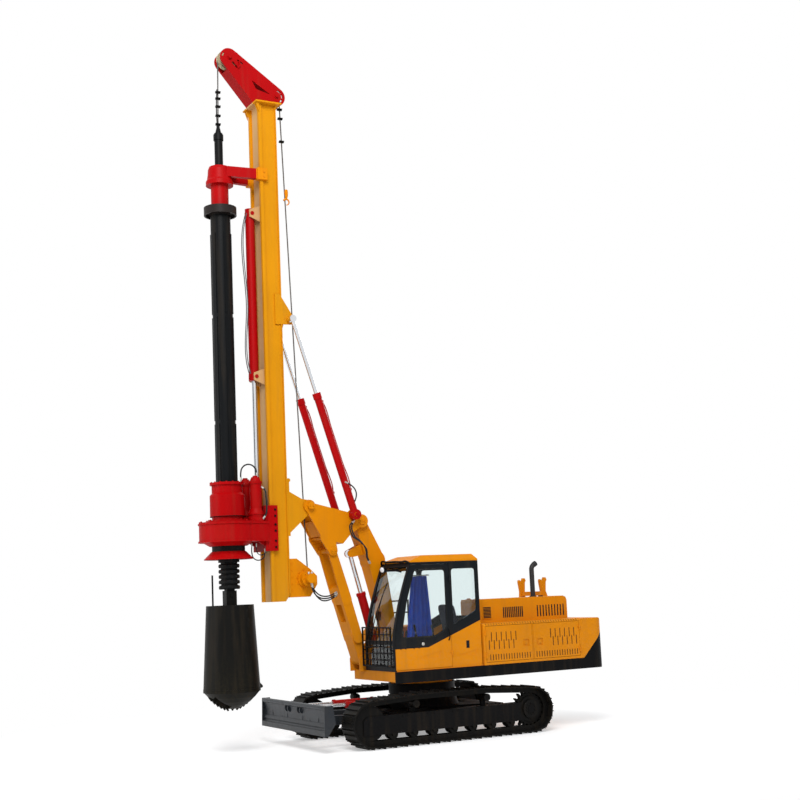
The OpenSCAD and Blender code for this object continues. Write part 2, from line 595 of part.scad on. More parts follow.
module cab_door_skin() color(amber) {
  hinge_moving([door_x0 - 3, cab_y1 + 13, cab_z0 + 200], 1);
  difference() {
    intersection() {
      across(cab_y1 - panel_t, cab_y1) polygon(door_outline());
      union() {
        below_belt();
        block([cab_xf - panel_t - 1, cab_y0, door_z0 - 5], [cab_xf, cab_y1 + 1, sill_z]);
      }
    }
    across(cab_y1 - 6, cab_y1 + 1) polygon([[belt_x + 190, cab_z0 + 190], [belt_x - 240, cab_z0 + 285],
      [belt_x - 190, cab_z0 + 185]]);
  }
}
module cab_door_glass() color("lightblue", 0.4) across(cab_y1 - 12 - glass_t, cab_y1 - 12)
  polygon(door_window());

// engine hood: a frame with door openings on both sides, raised over the engine
lid_x0 = up_x1 - 700;
lid_y0 = up_y0 + 80;
lid_y1 = up_y1 - 80;
lid_hinges = [lid_y0 + 50, lid_y1 - 130];
module hood() color(amber) {
  hood_shell();
  both() for (d = [[hood_x1 - 41, 1], [hood_x0 + 41, -1]], z = [deck_z + 110, hood_z - 190])
    hinge_fixed([d[0], door_y + 13, z], d[1]);
  for (y = lid_hinges) translate([up_x1 - 62, y, up_z + 13]) rotate([-90, 0, 0]) {
    cylinder(r = 12, h = 40);
    block([0, 5, 2], [40, 13, 38]);
  }
}
module hood_shell() difference() {
  union() {
    along(hood_x0 + 1, hood_x1) polygon([[-door_y, deck_z], [-door_y, hood_z - hood_edge],
      [-door_y + hood_edge, hood_z],
      [door_y - hood_edge, hood_z], [door_y, hood_z - hood_edge], [door_y, deck_z]]);
    across(up_y0, up_y1) polygon([[up_x0, hood_z], [up_x0, up_z - 75], [up_x0 + 22, up_z - 22],
      [up_x0 + 75, up_z],
      [up_x1 - 18, up_z], [up_x1, up_z - 40], [up_x1, hood_z]]);
  }
  block([hood_x0 + panel_t, -door_y + panel_t, deck_z - 1],
    [hood_x1 - panel_t, door_y - panel_t, hood_z - panel_t]);
  block([hood_x0 + panel_t, up_y0 + panel_t, hood_z - panel_t - 1],
    [up_x1 - panel_t, up_y1 - panel_t, up_z - panel_t]);
  both() for (d = [[hood_x0 + 40, door_split - 8], [door_split + 8, hood_x1 - 40]])
    block([d[0], door_y - panel_t - 1, deck_z + 40], [d[1], door_y + 1, hood_z - 40]);
  block([lid_x0, lid_y0, up_z - panel_t - 1], [up_x1 - 60, lid_y1, up_z + 1]);
  // air slots: along the chamfer above the doors, and in the raised side
  both() for (i = [0 : floor((hood_x1 - hood_x0 - 120) / 52)])
    along(hood_x1 - 74 - i * 52, hood_x1 - 60 - i * 52)
    polygon([[door_y + 4, hood_z - 24], [door_y - 24, hood_z + 4], [door_y - 52, hood_z - 24],
      [door_y - 24, hood_z - 52]]);
  for (i = [0 : 9]) block([up_x0 + 70 + i * 60, up_y1 - panel_t - 1, hood_z + 60],
    [up_x0 + 92 + i * 60, up_y1 + 1, hood_z + 245]);
  for (i = [0 : 10]) block([up_x1 - 860 + i * 38, up_y1 - panel_t - 1, hood_z + 70],
    [up_x1 - 850 + i * 38, up_y1 + 1, hood_z + 240]);
}
module side_door(x0, x1, latch) difference() {
  // panel with a low row of short slots and a staggered row of long ones; the slots
  // start at the hinge, the latch lies in a square recess at the other end
  block([x0 + free_gap, door_y - panel_t, deck_z + 40 + free_gap],
    [x1 - free_gap, door_y, hood_z - 40 - free_gap]);
  for (i = [0 : floor((x1 - x0 - 110) / 52)])
    block([x0 + 52 + i * 52, door_y - panel_t - 1, deck_z + 72],
      [x0 + 68 + i * 52, door_y + 1, deck_z + 165]);
  for (i = [0 : floor((x1 - x0 - 380) / 48)]) {
    x = latch < 0 ? x1 - 76 - i * 48 : x0 + 60 + i * 48;
    z = deck_z + (i % 2 == 0 ? 245 : 375);
    block([x, door_y - panel_t - 1, z], [x + 16, door_y + 1, z + 150]);
  }
  x = latch < 0 ? x0 + 70 : x1 - 190;
  difference() {
    block([x, door_y - 12, deck_z + 265], [x + 120, door_y + 1, deck_z + 375]);
    block([x + 30, door_y - 13, deck_z + 295], [x + 90, door_y - 3, deck_z + 345]);
  }
}
module front_door() color(amber) {
  side_door(door_split + 8, hood_x1 - 40, -1);
  for (z = [deck_z + 110, hood_z - 190]) hinge_moving([hood_x1 - 41, door_y + 13, z], -1);
}
module rear_door() color(amber) {
  side_door(hood_x0 + 40, door_split - 8, 1);
  for (z = [deck_z + 110, hood_z - 190]) hinge_moving([hood_x0 + 41, door_y + 13, z], 1);
}
module door_left_front() front_door();
module door_left_rear() rear_door();
module door_right_front() mirror([0, 1, 0]) front_door();
module door_right_rear() mirror([0, 1, 0]) rear_door();
module hood_lid() color(amber) {
  block([lid_x0 + free_gap, lid_y0 + free_gap, up_z - panel_t],
    [up_x1 - 60 - free_gap, lid_y1 - free_gap, up_z]);
  for (y = lid_hinges) translate([up_x1 - 62, y + 40 + run_gap, up_z + 13]) rotate([-90, 0, 0]) {
    cylinder(r = 12, h = 40);
    block([-40, 5, 2], [0, 13, 38]);
  }
}
module engine() color("#5a5d60") block([-2150, -520, deck_z], [-1000, 520, hood_z - 60]);

module counterweight() color(amber) difference() {
  tail_solid();
  tail_corner();
  // lifting eyes run down through the top
  for (s = [-1, 1]) translate([-tail_x + 190, s * 1000, hood_z - 340]) cylinder(r = 30, h = 400);
}
module side_box() color(amber) mirror([0, 1, 0]) difference() {
  // fuel and tool box on the right, with a step let into its front corner
  across(leg_hw + 90, door_y - 20) polygon([[hood_x1 + 12, deck_z], [hood_x1 + 12, hood_z - 20],
    [side_xf - 70, hood_z - 20],
    [side_xf, hood_z - 90], [side_xf, deck_z]]);
  block([side_xf - 130, door_y - 200, deck_z + 180], [side_xf + 1, door_y, deck_z + 400]);
}
module exhaust() color(black) translate([up_x0 + 460, 500, up_z]) {
  cylinder(r = 62, h = 14);
  cylinder(r = 42, h = 470);
  // outlet bent to the rear
  translate([-100, 0, 470]) rotate([90, 0, 0]) rotate_extrude(angle = 60) translate([100, 0]) circle(r = 42);
  translate([-44, 0, 552]) rotate([0, -60, 0]) cylinder(r = 47, h = 56);
}
cradle_x = up_x0 + 130;
module mast_cradle() color(amber) {
  // two horned posts joined by a beam; the right one reaches down to the low hood
  post = [[-45, 90], [-55, 250], [-75, 285], [-60, 325], [-25, 330], [-5, 285], [30, 278], [60, 300],
    [72, 270], [45, 90]];
  both() across(300, 360) polygon([for (p = post) [cradle_x + p[0], up_z + p[1]]]);
  across(300, 360) polygon([[cradle_x - 80, up_z], [cradle_x + 80, up_z], [cradle_x + 45, up_z + 91],
    [cradle_x - 45, up_z + 91]]);
  across(-360, -300) polygon([[cradle_x - 80, hood_z], [cradle_x + 80, hood_z],
    [cradle_x + 45, up_z + 91], [cradle_x - 45, up_z + 91]]);
  block([cradle_x - 30, -300, up_z + 10], [cradle_x + 30, 300, up_z + 85]);
}
module hoop(x0, x1, y, z0, z1) {
  for (x = [x0, x1]) translate([x, y, z0]) cylinder(r = 17, h = z1 - z0);
  for (z = [z1 - 20, (z0 + z1) / 2]) translate([x0, y, z]) rotate([0, 90, 0]) cylinder(r = 13, h = x1 - x0);
}
module handrails() color(black)
  mirror([0, 1, 0]) hoop(hood_x1 + 60, side_xf - 330, door_y - 90, hood_z - 20, hood_z + 430);

// ---- boom ----
module rear_arm() color(amber) {
  difference() {
    union() {
      across(-leg_hw, leg_hw) {
        elbow = rear_foot + arm_vec * 0.62 + turn(arm_vec, 90) / arm_len * 90;
        link2d(rear_foot, elbow, 90, 156);
        link2d(elbow, rear_top, 156, 105);
        translate(flat(elbow)) circle(r = 165);
      }
      // lug for the luffing rod under the arm
      both() across(48, 78) link2d(luff_top, luff_top + [-190, 60], 62, 90);
    }
    // fork at the top, and the bore of the head pin
    rod_y(rear_top, 145, -leg_hw + 35, leg_hw - 35);
    rod_y(rear_top, pin_r + pin_gap, -leg_hw - 1, leg_hw + 1);
  }
  rod_y(rear_foot, pin_r, -leg_hw - 45, leg_hw + 45);
  rod_y(luff_top, 20, -49, 49);
}
module front_arm() color(amber) {
  difference() {
    union() {
      // narrow foot, forked body with a window, two prongs
      across(-leg_hw + 2, leg_hw - 2) link2d(front_foot, front_foot + arm_vec * 0.24, 85, 90);
      across(-head_hw + 50, head_hw - 50) link2d(front_foot + arm_vec * 0.2, front_foot + arm_vec * 0.64,
        80, 85);
      both() across(head_hw - 78, head_hw - 42) link2d(front_foot + arm_vec * 0.55, front_top, 88, 75);
    }
    // window through the body
    translate([front_foot[0], 0, front_foot[1]]) rotate([0, 90 - arm_angle, 0])
      block([-200, -95, arm_len * 0.36], [200, 95, arm_len * 0.52]);
    both() rod_y(front_top, pin_r + pin_gap, head_hw - 90, head_hw);
  }
  rod_y(front_foot, pin_r, -leg_hw - 45, leg_hw + 45);
}
module boom_head() color(amber) {
  shell = [rear_top + [-70, 70], mast_pin + [60, 75], mast_pin + [60, -70], mast_pin + [-210, -545],
           mast_pin + [-580, -625], mast_pin + [-720, -480], rear_top + [60, -115], rear_top + [-95, -60]];
  difference() {
    union() {
      // two side plates, a top plate, a floor and the front bulkhead
      both() difference() {
        across(head_hw - 36, head_hw) {
          polygon(shell);
          translate(mast_pin) circle(r = 100);
          translate(rear_top) circle(r = 110);
          link2d(front_top, front_top + [90, 230], 80, 130);
          translate(mast_cyl_foot) circle(r = 90);
        }
      }
      across(-head_hw + 35, head_hw - 35) polygon([shell[1] + [-200, -50], shell[1] + [-200, -85],
        shell[0] + [330, -8], shell[0] + [330, 28]]);
      across(-head_hw + 35, head_hw - 35) polygon([shell[3], shell[4], shell[4] + [0, 35],
        shell[3] + [-10, 35]]);
      across(-head_hw + 35, head_hw - 35) polygon([shell[3] + [20, 45], shell[3] + [-15, 45],
        shell[3] + [95, 300], shell[3] + [125, 290]]);
    }
    both() rod_y(mast_pin, pin_r + pin_gap, head_hw - 40, head_hw + 5);
  }
  // pins: rear arm, front arm, mast cylinders
  rod_y(rear_top, pin_r, -head_hw, head_hw);
  rod_y(front_top, pin_r, -head_hw, head_hw);
  both() rod_y(mast_cyl_foot, 38, head_hw - 36, cyl_y + 76);
}
// hollow cylinder barrel from foot to top, and the rod that slides in it;
// shut and open are the ends of the barrel, as shares of the whole length
module barrel(foot, top, r, bore, y, shut, open) difference() {
  union() {
    bar(foot, top, r, y, shut, open);
    bar(foot, top, r + 9, y, open - 0.03, open);
  }
  bar(foot, top, bore, y, shut + 0.05, open + 0.01);
}
luff_rod_r = 40;
module luff_barrel() color(crimson) {
  difference() {
    rod_y(luff_foot, 70, -leg_hw + 2, leg_hw - 2);
    rod_y(luff_foot, 20, -300, 300);
  }
  barrel(luff_foot, luff_top, 72, luff_rod_r + rod_gap, 0, 0.036, 0.62);
  rod_y(luff_foot, 38, -leg_hw - 33, leg_hw + 33);
}
module luff_rod() color(chrome) {
  difference() {
    rod_y(luff_top, 62, -42, 42);
    rod_y(luff_top, 34, -50, 50);
  }
  bar(luff_foot, luff_top, luff_rod_r, 0, 0.4, 0.97);
}
module mast_barrels() color(crimson) both() {
  eye(mast_cyl_foot, 84, 38 + pin_gap, cyl_y, 66);
  barrel(mast_cyl_foot, mast_cyl_top, mast_cyl_r, mast_rod_r + rod_gap, cyl_y, 0.0155, 0.62);
}
module mast_rods() color(chrome) both() {
  rod_y(mast_cyl_top, 58, cyl_y - 40, cyl_y + 40);
  bar(mast_cyl_foot, mast_cyl_top, mast_rod_r, cyl_y, 0.5, 0.985);
}

// ---- mast ----
module mast() color(amber) {
  difference() {
    union() {
      block([mast_xr, -mast_w / 2, mast_z0], [mast_xf, mast_w / 2, mast_z1]);
      // guide rails on the front corners and the rear flange
      both() block([mast_xf - 20, rail_y - rail_w / 2, mast_z0],
        [mast_xf + 35, rail_y + rail_w / 2, mast_z1]);
      block([mast_xr, -mast_w / 2 - 25, mast_z0 + 120], [mast_xr + 18, mast_w / 2 + 25, mast_z1]);
      // doubling plate and pivot bracket
      block([mast_xr - 40, -mast_w / 2 - 10, mast_pin[1] - 480],
        [mast_xr + 1, mast_w / 2 + 10, mast_pin[1] + 420]);
      rod_y([mast_xr - 30, mast_pin[1] + 425], 32, -mast_w / 2 - 10, mast_w / 2 + 10);
      both() across(mast_w / 2 - 40, mast_w / 2 + 10) {
        polygon([[mast_xr + 20, mast_pin[1] + 270], [mast_xr + 20, mast_pin[1] - 480],
          mast_pin + [-40, -95], mast_pin + [-50, 90], mast_pin + [120, 120]]);
        translate(mast_pin) circle(r = 105);
      }
    }
    // chamfered foot
    across(-400, 400) polygon([[mast_xr - 10, mast_z0 - 10], [mast_xr + 80, mast_z0 - 10],
      [mast_xr - 10, mast_z0 + 120]]);
  }
  rod_y(mast_pin, pin_r, -head_hw - 25, head_hw + 25);
  // brackets for the mast cylinders
  both() {
    across(mast_w / 2, mast_w / 2 + 25)
      polygon([[mast_xr + 120, mast_cyl_top[1] - 80], mast_cyl_top + [-40, -70], mast_cyl_top + [-75, 55],
        [mast_xr + 30, mast_cyl_top[1] + 430], [mast_xr + 120, mast_cyl_top[1] + 430]]);
    rod_y(mast_cyl_top, 60, mast_w / 2, cyl_y - 40.5);
  }
  // top plate
  block([mast_xr - 70, -300, mast_z1], [mast_xf + 100, 300, mast_z1 + 25]);
  for (y = [-250, -rail_y, rail_y, 250]) across(y - 8, y + 8)
    polygon([[mast_xf + 34, mast_z1 + 1], [mast_xf + 90, mast_z1 + 1], [mast_xf + 34, mast_z1 - 150]]);
  // crowd cylinder brackets
  for (z = [crowd_z1 - 90, crowd_z0 + 60]) both() difference() {
    across(crowd_r + 14, crowd_r + 34)
      polygon([[mast_xf - 1, z - 140], [crowd_x + 45, z - 60], [crowd_x + 45, z + 60],
        [mast_xf - 1, z + 140]]);
    rod_y([crowd_x, z], 32 + pin_gap, 0, 200);
  }
}
head_plate_y = 118;
nose_r = 160;                             // ends of the head's side plates
tail_r = 165;
front_hub = [drill_x - front_sheave_r - 9, mast_z1 + 755];
rear_hub = [2410, mast_z1 + 190];
head_z = mast_z1 + 25.3;                  // the head stands on the mast's top plate
head_toe = [mast_xf + 95, head_z];
// lower front edge: it leaves the nose at the tangent point seen from the toe
chin = let (a = bearing(front_hub, head_toe) + acos(nose_r / gap_of(front_hub, head_toe)))
  front_hub + nose_r * [cos(a), sin(a)];
brow = (head_toe - chin) / norm(head_toe - chin);
module head_slot(p, q, r) across(head_plate_y - 1, head_plate_y + 31) link2d(p, q, r, r);
module mast_head() color(crimson) {
  both() difference() {
    across(head_plate_y, head_plate_y + 30) {
      link2d(rear_hub, front_hub, tail_r, nose_r);
      polygon([[mast_xr - 50, head_z], rear_hub, front_hub, chin, head_toe]);
    }
    // cut-out over the mast
    across(head_plate_y - 1, head_plate_y + 31)
      polygon(rounded([[mast_xf + 110, head_z + 395], [mast_xf + 30, head_z + 245],
        [mast_xr + 60, head_z + 185]], 30));
    // slots at the nose, along the top and round the rear hub
    head_slot(front_hub + [95, 65], front_hub + [20, -5] + [100, 20], 12);
    head_slot(front_hub + [-60, -80], front_hub + [-130, -150], 18);
    head_slot(front_hub + [-150, -30], front_hub + [-230, -75], 13);
    for (a = [120, 170, 220])
      head_slot(rear_hub + 112 * [cos(a - 14), sin(a - 14)], rear_hub + 112 * [cos(a + 14), sin(a + 14)], 11);
    rod_y(front_hub, 30 + pin_gap, 0, 400);
    rod_y(rear_hub, 30 + pin_gap, 0, 400);
  }
  // guard bars bent round the sheave pin on both sides
  both() across(head_plate_y + 29, head_plate_y + 55) difference() {
    translate(front_hub + [-95, -105]) circle(r = 92);
    translate(front_hub + [-95, -105]) circle(r = 74);
    translate(front_hub + [-95, -105]) rotate(-40) translate([0, -100]) square(200);
    translate(front_hub + [-95, -105]) rotate(50) translate([0, -100]) square(200);
  }
  // front web under the head and foot plate
  across(-head_plate_y, head_plate_y) polygon([head_toe, chin + 130 * brow,
    chin + 130 * brow + 28 * turn(brow, -90),
    head_toe + 28 * turn(brow, -90)]);
  block([mast_xr - 50, -200, head_z], [mast_xf + 60, 200, head_z + 22]);
  // keepers over the sheaves
  rod_y(front_hub + [-150, 105], 14, -head_plate_y, head_plate_y);
  rod_y(rear_hub + [-125, 85], 14, -head_plate_y, head_plate_y);
}
// grooved rope wheel on its pin
module rope_wheel(hub, r) {
  translate([hub[0], 0, hub[1]]) rotate([90, 0, 0]) rotate_extrude()
    polygon([[31, -50], [60, -50], [60, -22], [r * 0.86, -22], [r, -34], [r, -14], [r - 24, 0], [r, 14],
      [r, 34], [r * 0.86, 22], [60, 22], [60, 50], [31, 50]]);
  rod_y(hub, 30, -head_plate_y - 45, head_plate_y + 45);
  rod_y(hub, 32, -head_plate_y + 8, head_plate_y - 8);
}
module front_sheave() color("#cfc9a8") rope_wheel(front_hub, front_sheave_r);
module rear_sheave() color("#cfc9a8") rope_wheel(rear_hub, rear_sheave_r);

winch_c = [mast_xr - 280, mast_z0 + 350];
module winch() color(amber) {
  // bolted to the rear of the mast: side plates, covers, drum and planetary drive
  plate = [[mast_xr - 0.3, mast_z0 + 60], [mast_xr - 0.3, mast_z0 + 680], winch_c + [140, 330],
    winch_c + [-90, 160],
           winch_c + [-215, 40], winch_c + [-215, -95], winch_c + [-85, -290]];
  both() across(150, 172) polygon(plate);
  across(-151, 151) polygon([plate[6], plate[0], plate[0] + [0, 18], plate[6] + [0, 18]]);
  across(-151, 151) polygon([plate[1] - [0, 18], plate[1], plate[2], plate[2] - [0, 18]]);
  across(-151, 151) polygon([plate[4], plate[5], plate[5] + [16, 0], plate[4] + [16, 0]]);
  rod_y(winch_c, 120, -150, 150);
  both() rod_y(winch_c, 165, 128, 150);
  rod_y(winch_c, 135, 172, 200);
  rod_y(winch_c, 108, 200, 300);
  rod_y(winch_c, 122, 300, 325);
  rod_y(winch_c, 78, 325, 440);
}
module crowd_barrel() color(crimson) {
  difference() {
    union() {
      translate([crowd_x, 0, crowd_z0]) cylinder(r = crowd_r, h = crowd_z1 - crowd_z0);
      translate([crowd_x, 0, crowd_z0]) cylinder(r = crowd_r + 12, h = 110);
      for (z = [crowd_z1 - 90, crowd_z0 + 60]) rod_y([crowd_x, z], 32, -crowd_r - 44, crowd_r + 44);
    }
    translate([crowd_x, 0, crowd_z0 - 1]) cylinder(r = crowd_rod_r + rod_gap, h = 1800);
  }
}
module crowd_rod() color(chrome) {
  translate([crowd_x, 0, crowd_eye_z]) cylinder(r = crowd_rod_r, h = crowd_z0 + 300 - crowd_eye_z);
  rod_y([crowd_x, crowd_eye_z], 60, -45, 45);
  rod_y([crowd_x, crowd_eye_z], 30, -76, 76);
}

// ---- rotary drive ----
slide_z0 = 3140;
slide_z1 = 3870;
module slide_shoe(z0, z1) difference() {
  // grips one guide rail from the front, side and back
  block([mast_xf - 20 - 60, rail_y - rail_w / 2 - 12, z0], [mast_xf + 35 + 60, rail_y + rail_w / 2 + 45, z1]);
  block([mast_xf - 20 - run_gap, -rail_y, z0 - 1], [mast_xf + 35 + run_gap, rail_y + rail_w / 2 + run_gap,
    z1 + 1]);
  block([mast_xf - 20 - 61, -rail_y, z0 - 1], [mast_xf, mast_w / 2 + run_gap, z1 + 1]);
  block([mast_xf - 20 - 61, -rail_y, z0 - 1], [mast_xf - 20 + 1, rail_y - rail_w / 2 + 22, z1 + 1]);
}
// plan of the gear case: round at the kelly, straight back to the carriage
module case_plan(out) {
  translate([drill_x, 0]) circle(r = gear_r + out);
  polygon([[mast_xf + 95, -300 - out], [drill_x, -gear_r - out], [drill_x, gear_r + out],
    [mast_xf + 95, 300 + out]]);
}
module gear_case() color(crimson) difference() {
  union() {
    // case with a rim above and below
    translate([0, 0, head_z0]) linear_extrude(head_z1 - head_z0 - 30) case_plan(0);
    for (z = [head_z0, head_z1 - 70]) translate([0, 0, z]) linear_extrude(26) case_plan(16);
    translate([drill_x, 0, head_z1 - 31]) cylinder(r = housing_r + 38, h = 31);
    // carriage
    block([mast_xf + 95, -rail_y - 70, slide_z0], [mast_xf + 135, rail_y + 70, slide_z1]);
    both() slide_shoe(slide_z0, slide_z1);
    both() across(200, 225) polygon([[mast_xf + 95, slide_z0 + 60], [mast_xf + 260, head_z0 + 1],
      [mast_xf + 260, head_z1 - 40],
      [mast_xf + 134, head_z1 - 40], [mast_xf + 134, slide_z1 - 20], [mast_xf + 95, slide_z1 - 20]]);
    // drive housing: neck, barrel, shoulder and top flange
    translate([drill_x, 0, head_z1 - 1]) cylinder(r = housing_r - 30, h = 64);
    translate([drill_x, 0, head_z1 + 60]) cylinder(r = housing_r, h = 340);
    translate([drill_x, 0, head_z1 + 399]) cylinder(r1 = housing_r, r2 = housing_r - 34, h = 35);
    translate([drill_x, 0, head_z1 + 433]) cylinder(r = housing_r - 34, h = 135);
    translate([drill_x, 0, head_z1 + 562]) cylinder(r = housing_r - 4, h = 40);
    // collar and bell below
    translate([drill_x, 0, head_z0 - 60]) cylinder(r1 = 300, r2 = 400, h = 61);
    translate([drill_x, 0, head_z0 - 190]) cylinder(r = 262, h = 135);
    translate([drill_x, 0, head_z0 - 255]) cylinder(r1 = 385, r2 = 275, h = 110);
    translate([drill_x, 0, head_z0 - 271]) cylinder(r = 392, h = 17);
    // ears for the crowd rod
    both() across(48, 72) polygon([[mast_xf + 100, head_z1 + 100], [mast_xf + 100, crowd_eye_z],
      [crowd_x + 5, crowd_eye_z + 55], [crowd_x + 60, crowd_eye_z], [crowd_x + 60, head_z1 + 100]]);
    block([mast_xf + 95, -72, head_z1 - 45], [crowd_x + 60, 72, head_z1 + 110]);
  }
  translate([drill_x, 0, head_z0 - 300]) cylinder(r = bore_r, h = 1600);
  translate([drill_x, 0, head_z0 - 272]) cylinder(r1 = 376, r2 = 240, h = 120);
  rod_y([crowd_x, crowd_eye_z], 30 + pin_gap, -100, 100);
}
module drive_motors() color(crimson) both() translate([drill_x - 400, 215, head_z1 - 30]) {
  // foot flange, gearbox, body and capped motor: [radius below, radius above, start, height]
  for (p = [[128, 128, 0, 62], [112, 112, 61, 42], [124, 124, 102, 24], [118, 94, 125, 72],
    [94, 94, 196, 440],
            [108, 108, 600, 26], [94, 62, 635, 70], [40, 40, 704, 24]])
    translate([0, 0, p[2]]) cylinder(r1 = p[0], r2 = p[1], h = p[3]);
}

// ---- kelly ----
guide_z0 = ring_z0 + ring_h + run_gap;
guide_arm_z = guide_z0 + 505;
kelly_top = 10080;                        // top of the inner kelly tube
stub_w = 130;                             // square stub at the foot of the kelly
module kelly_guide() color(crimson) difference() {
  union() {
    // drum: tube, flared skirt and domed cap, as radius and height
    translate([drill_x, 0, guide_z0]) rotate_extrude() polygon([[0, 0], [145, 0], [145, 375], [225, 375],
      [225, 440], [205, 475], [192, 560], [186, 640], [168, 690], [110, 705], [0, 705]]);
    // two arms to the rails, joined by a web
    both() translate([0, 0, guide_arm_z]) linear_extrude(170)
      polygon([[drill_x - 60, 120], [drill_x - 60, 185], [mast_xf + 95, rail_y + 40],
        [mast_xf + 95, rail_y - 55]]);
    translate([0, 0, guide_arm_z + 74]) linear_extrude(22)
      polygon([[drill_x - 60, 180], [mast_xf + 260, 210], [mast_xf + 330, 120], [mast_xf + 330, -120],
               [mast_xf + 260, -210], [drill_x - 60, -180]]);
    both() slide_shoe(guide_arm_z - 15, guide_arm_z + 185);
  }
  translate([drill_x, 0, guide_z0 - 10]) cylinder(r = inner_kelly_r + 3, h = 800);
}
module kelly() color(slate) {
  translate([drill_x, 0, 0]) {
    translate([0, 0, 3030]) cylinder(r = kelly_r, h = ring_z0 + 60 - 3030);
    // drive keys: [bottom, top] of each step
    for (a = [30 : 60 : 330]) rotate(a) for (k = [[3060, 5200], [5260, 6950], [7010, 8350]])
      translate([kelly_r - 14, -17, k[0]]) cube([24, 34, k[1] - k[0]]);
    difference() {
      translate([0, 0, ring_z0]) cylinder(r = 268, h = ring_h);
      translate([0, 0, ring_z0 - 1]) cylinder(r = 242, h = 56);
    }
    translate([0, 0, ring_z0 + ring_h - 30]) cylinder(r = inner_kelly_r,
      h = kelly_top - ring_z0 - ring_h + 30);
    // collar and swivel
    translate([0, 0, kelly_top - 120]) cylinder(r = inner_kelly_r + 14, h = 95);
    translate([0, 0, kelly_top - 1]) cylinder(r1 = 52, r2 = 32, h = 91);
    translate([0, 0, kelly_top + 89]) cylinder(r = 28, h = 46);
    // damper rings and the square stub with its pin
    translate([0, 0, 2560]) rotate_extrude() polygon(concat([[0, 0]],
      [for (i = [0 : 4]) for (p = [[158, 0], [168, 16], [168, 44], [158, 60], [132, 66], [132, 84]])
        [p[0], p[1] + i * 84]],
      [[168, 424], [168, 474], [0, 474]]));
    translate([-stub_w / 2, -stub_w / 2, 2330]) cube([stub_w, stub_w, 232]);
  }
}
module bucket() color(black) {
  translate([drill_x, 0, 0]) {
    difference() {
      translate([0, 0, bucket_z0]) cylinder(r1 = bucket_r0, r2 = bucket_r1, h = bucket_h);
      translate([0, 0, bucket_z0 - 1]) cylinder(r1 = bucket_r0 - bucket_t, r2 = bucket_r1 - bucket_t,
        h = bucket_h - 29);
      for (a = [45 : 90 : 315]) rotate(a) translate([230, 0, bucket_z1 - 60]) cylinder(r = 55, h = 100);
    }
    // kelly socket
    difference() {
      translate([-stub_w / 2 - 22, -stub_w / 2 - 22, bucket_z1 - 1]) cube([stub_w + 44, stub_w + 44, 230]);
      translate([-stub_w / 2 - 0.3, -stub_w / 2 - 0.3, bucket_z1 + 19.7])
        cube([stub_w + 0.6, stub_w + 0.6, 300]);
    }
    both() rod_y([0, bucket_z1 + 150], 22, stub_w / 2 + 21, stub_w / 2 + 40);
    // release rod
    translate([255, -80, bucket_z1 - 40]) cylinder(r = 14, h = 520);
    // ears and pin of the bottom's hinge
    both() across(34, 54) link2d([-door_hinge_r, bucket_z0], [-bucket_r0 + 5, bucket_z0 + 45], 22, 20);
    rod_y([-door_hinge_r, bucket_z0], 14, -60, 60);
  }
}
dome_h = 270;                             // depth of the bucket's domed bottom
function dome_z(r) = dome_h * (pow(r / bucket_r0, 2) - 1);
module bucket_door() color(black) translate([drill_x, 0, bucket_z0 - run_gap]) {
  difference() {
    union() {
      translate([0, 0, -50]) cylinder(r = bucket_r0 + 4, h = 50);
      translate([0, 0, -49]) rotate_extrude()
        polygon(concat([[0, 0]], [for (i = [0 : 6]) [i * bucket_r0 / 6 * 0.985, dome_z(i * bucket_r0 / 6)]]));
      // pilot bit
      translate([0, 0, -345]) cylinder(r1 = 9, r2 = 52, h = 80);
      // hinge eye
      across(-28, 28) link2d([-door_hinge_r, run_gap], [-bucket_r0 + 20, -28], 27, 22);
    }
    rod_y([-door_hinge_r, run_gap], 14 + pin_gap, -40, 40);
    cylinder(r = bucket_r0 + 6, h = 100);
    for (s = [0, 180]) rotate(s) translate([80, 34, -60 - dome_h]) cube([270, 150, dome_h + 100]);
  }
  // teeth along both mouths, laid against the dome
  for (s = [0, 180], i = [0 : 5]) rotate(s) {
    r = 95 + i * 54;
    translate([r, 6, -49 + dome_z(r)]) rotate([42, 24, 0]) translate([-13, -12, -42]) cube([26, 24, 84]);
  }
}

car_body();
track_frames();
track_left();
track_right();
sprockets();
rollers();
blade();
blade_barrels();
blade_rods();
deck();
skirt();
cab_base();
cab_frame();
cab_roof();
cab_glass();
cab_seat();
cab_guard();
cab_door();
cab_door_skin();
cab_door_glass();
hood();
door_left_front();
door_left_rear();
door_right_front();
door_right_rear();
hood_lid();
engine();
counterweight();
side_box();
exhaust();
mast_cradle();
handrails();
rear_arm();
front_arm();
luff_barrel();
luff_rod();
boom_head();
mast_barrels();
mast_rods();
mast();
mast_head();
front_sheave();
rear_sheave();
winch();
crowd_barrel();
crowd_rod();
gear_case();
drive_motors();
kelly_guide();
kelly();
bucket();
bucket_door();
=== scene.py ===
"""Looks of a crawler rotary drilling rig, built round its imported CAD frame."""
import json

import bpy
import numpy as np
from mathutils import Matrix, Vector

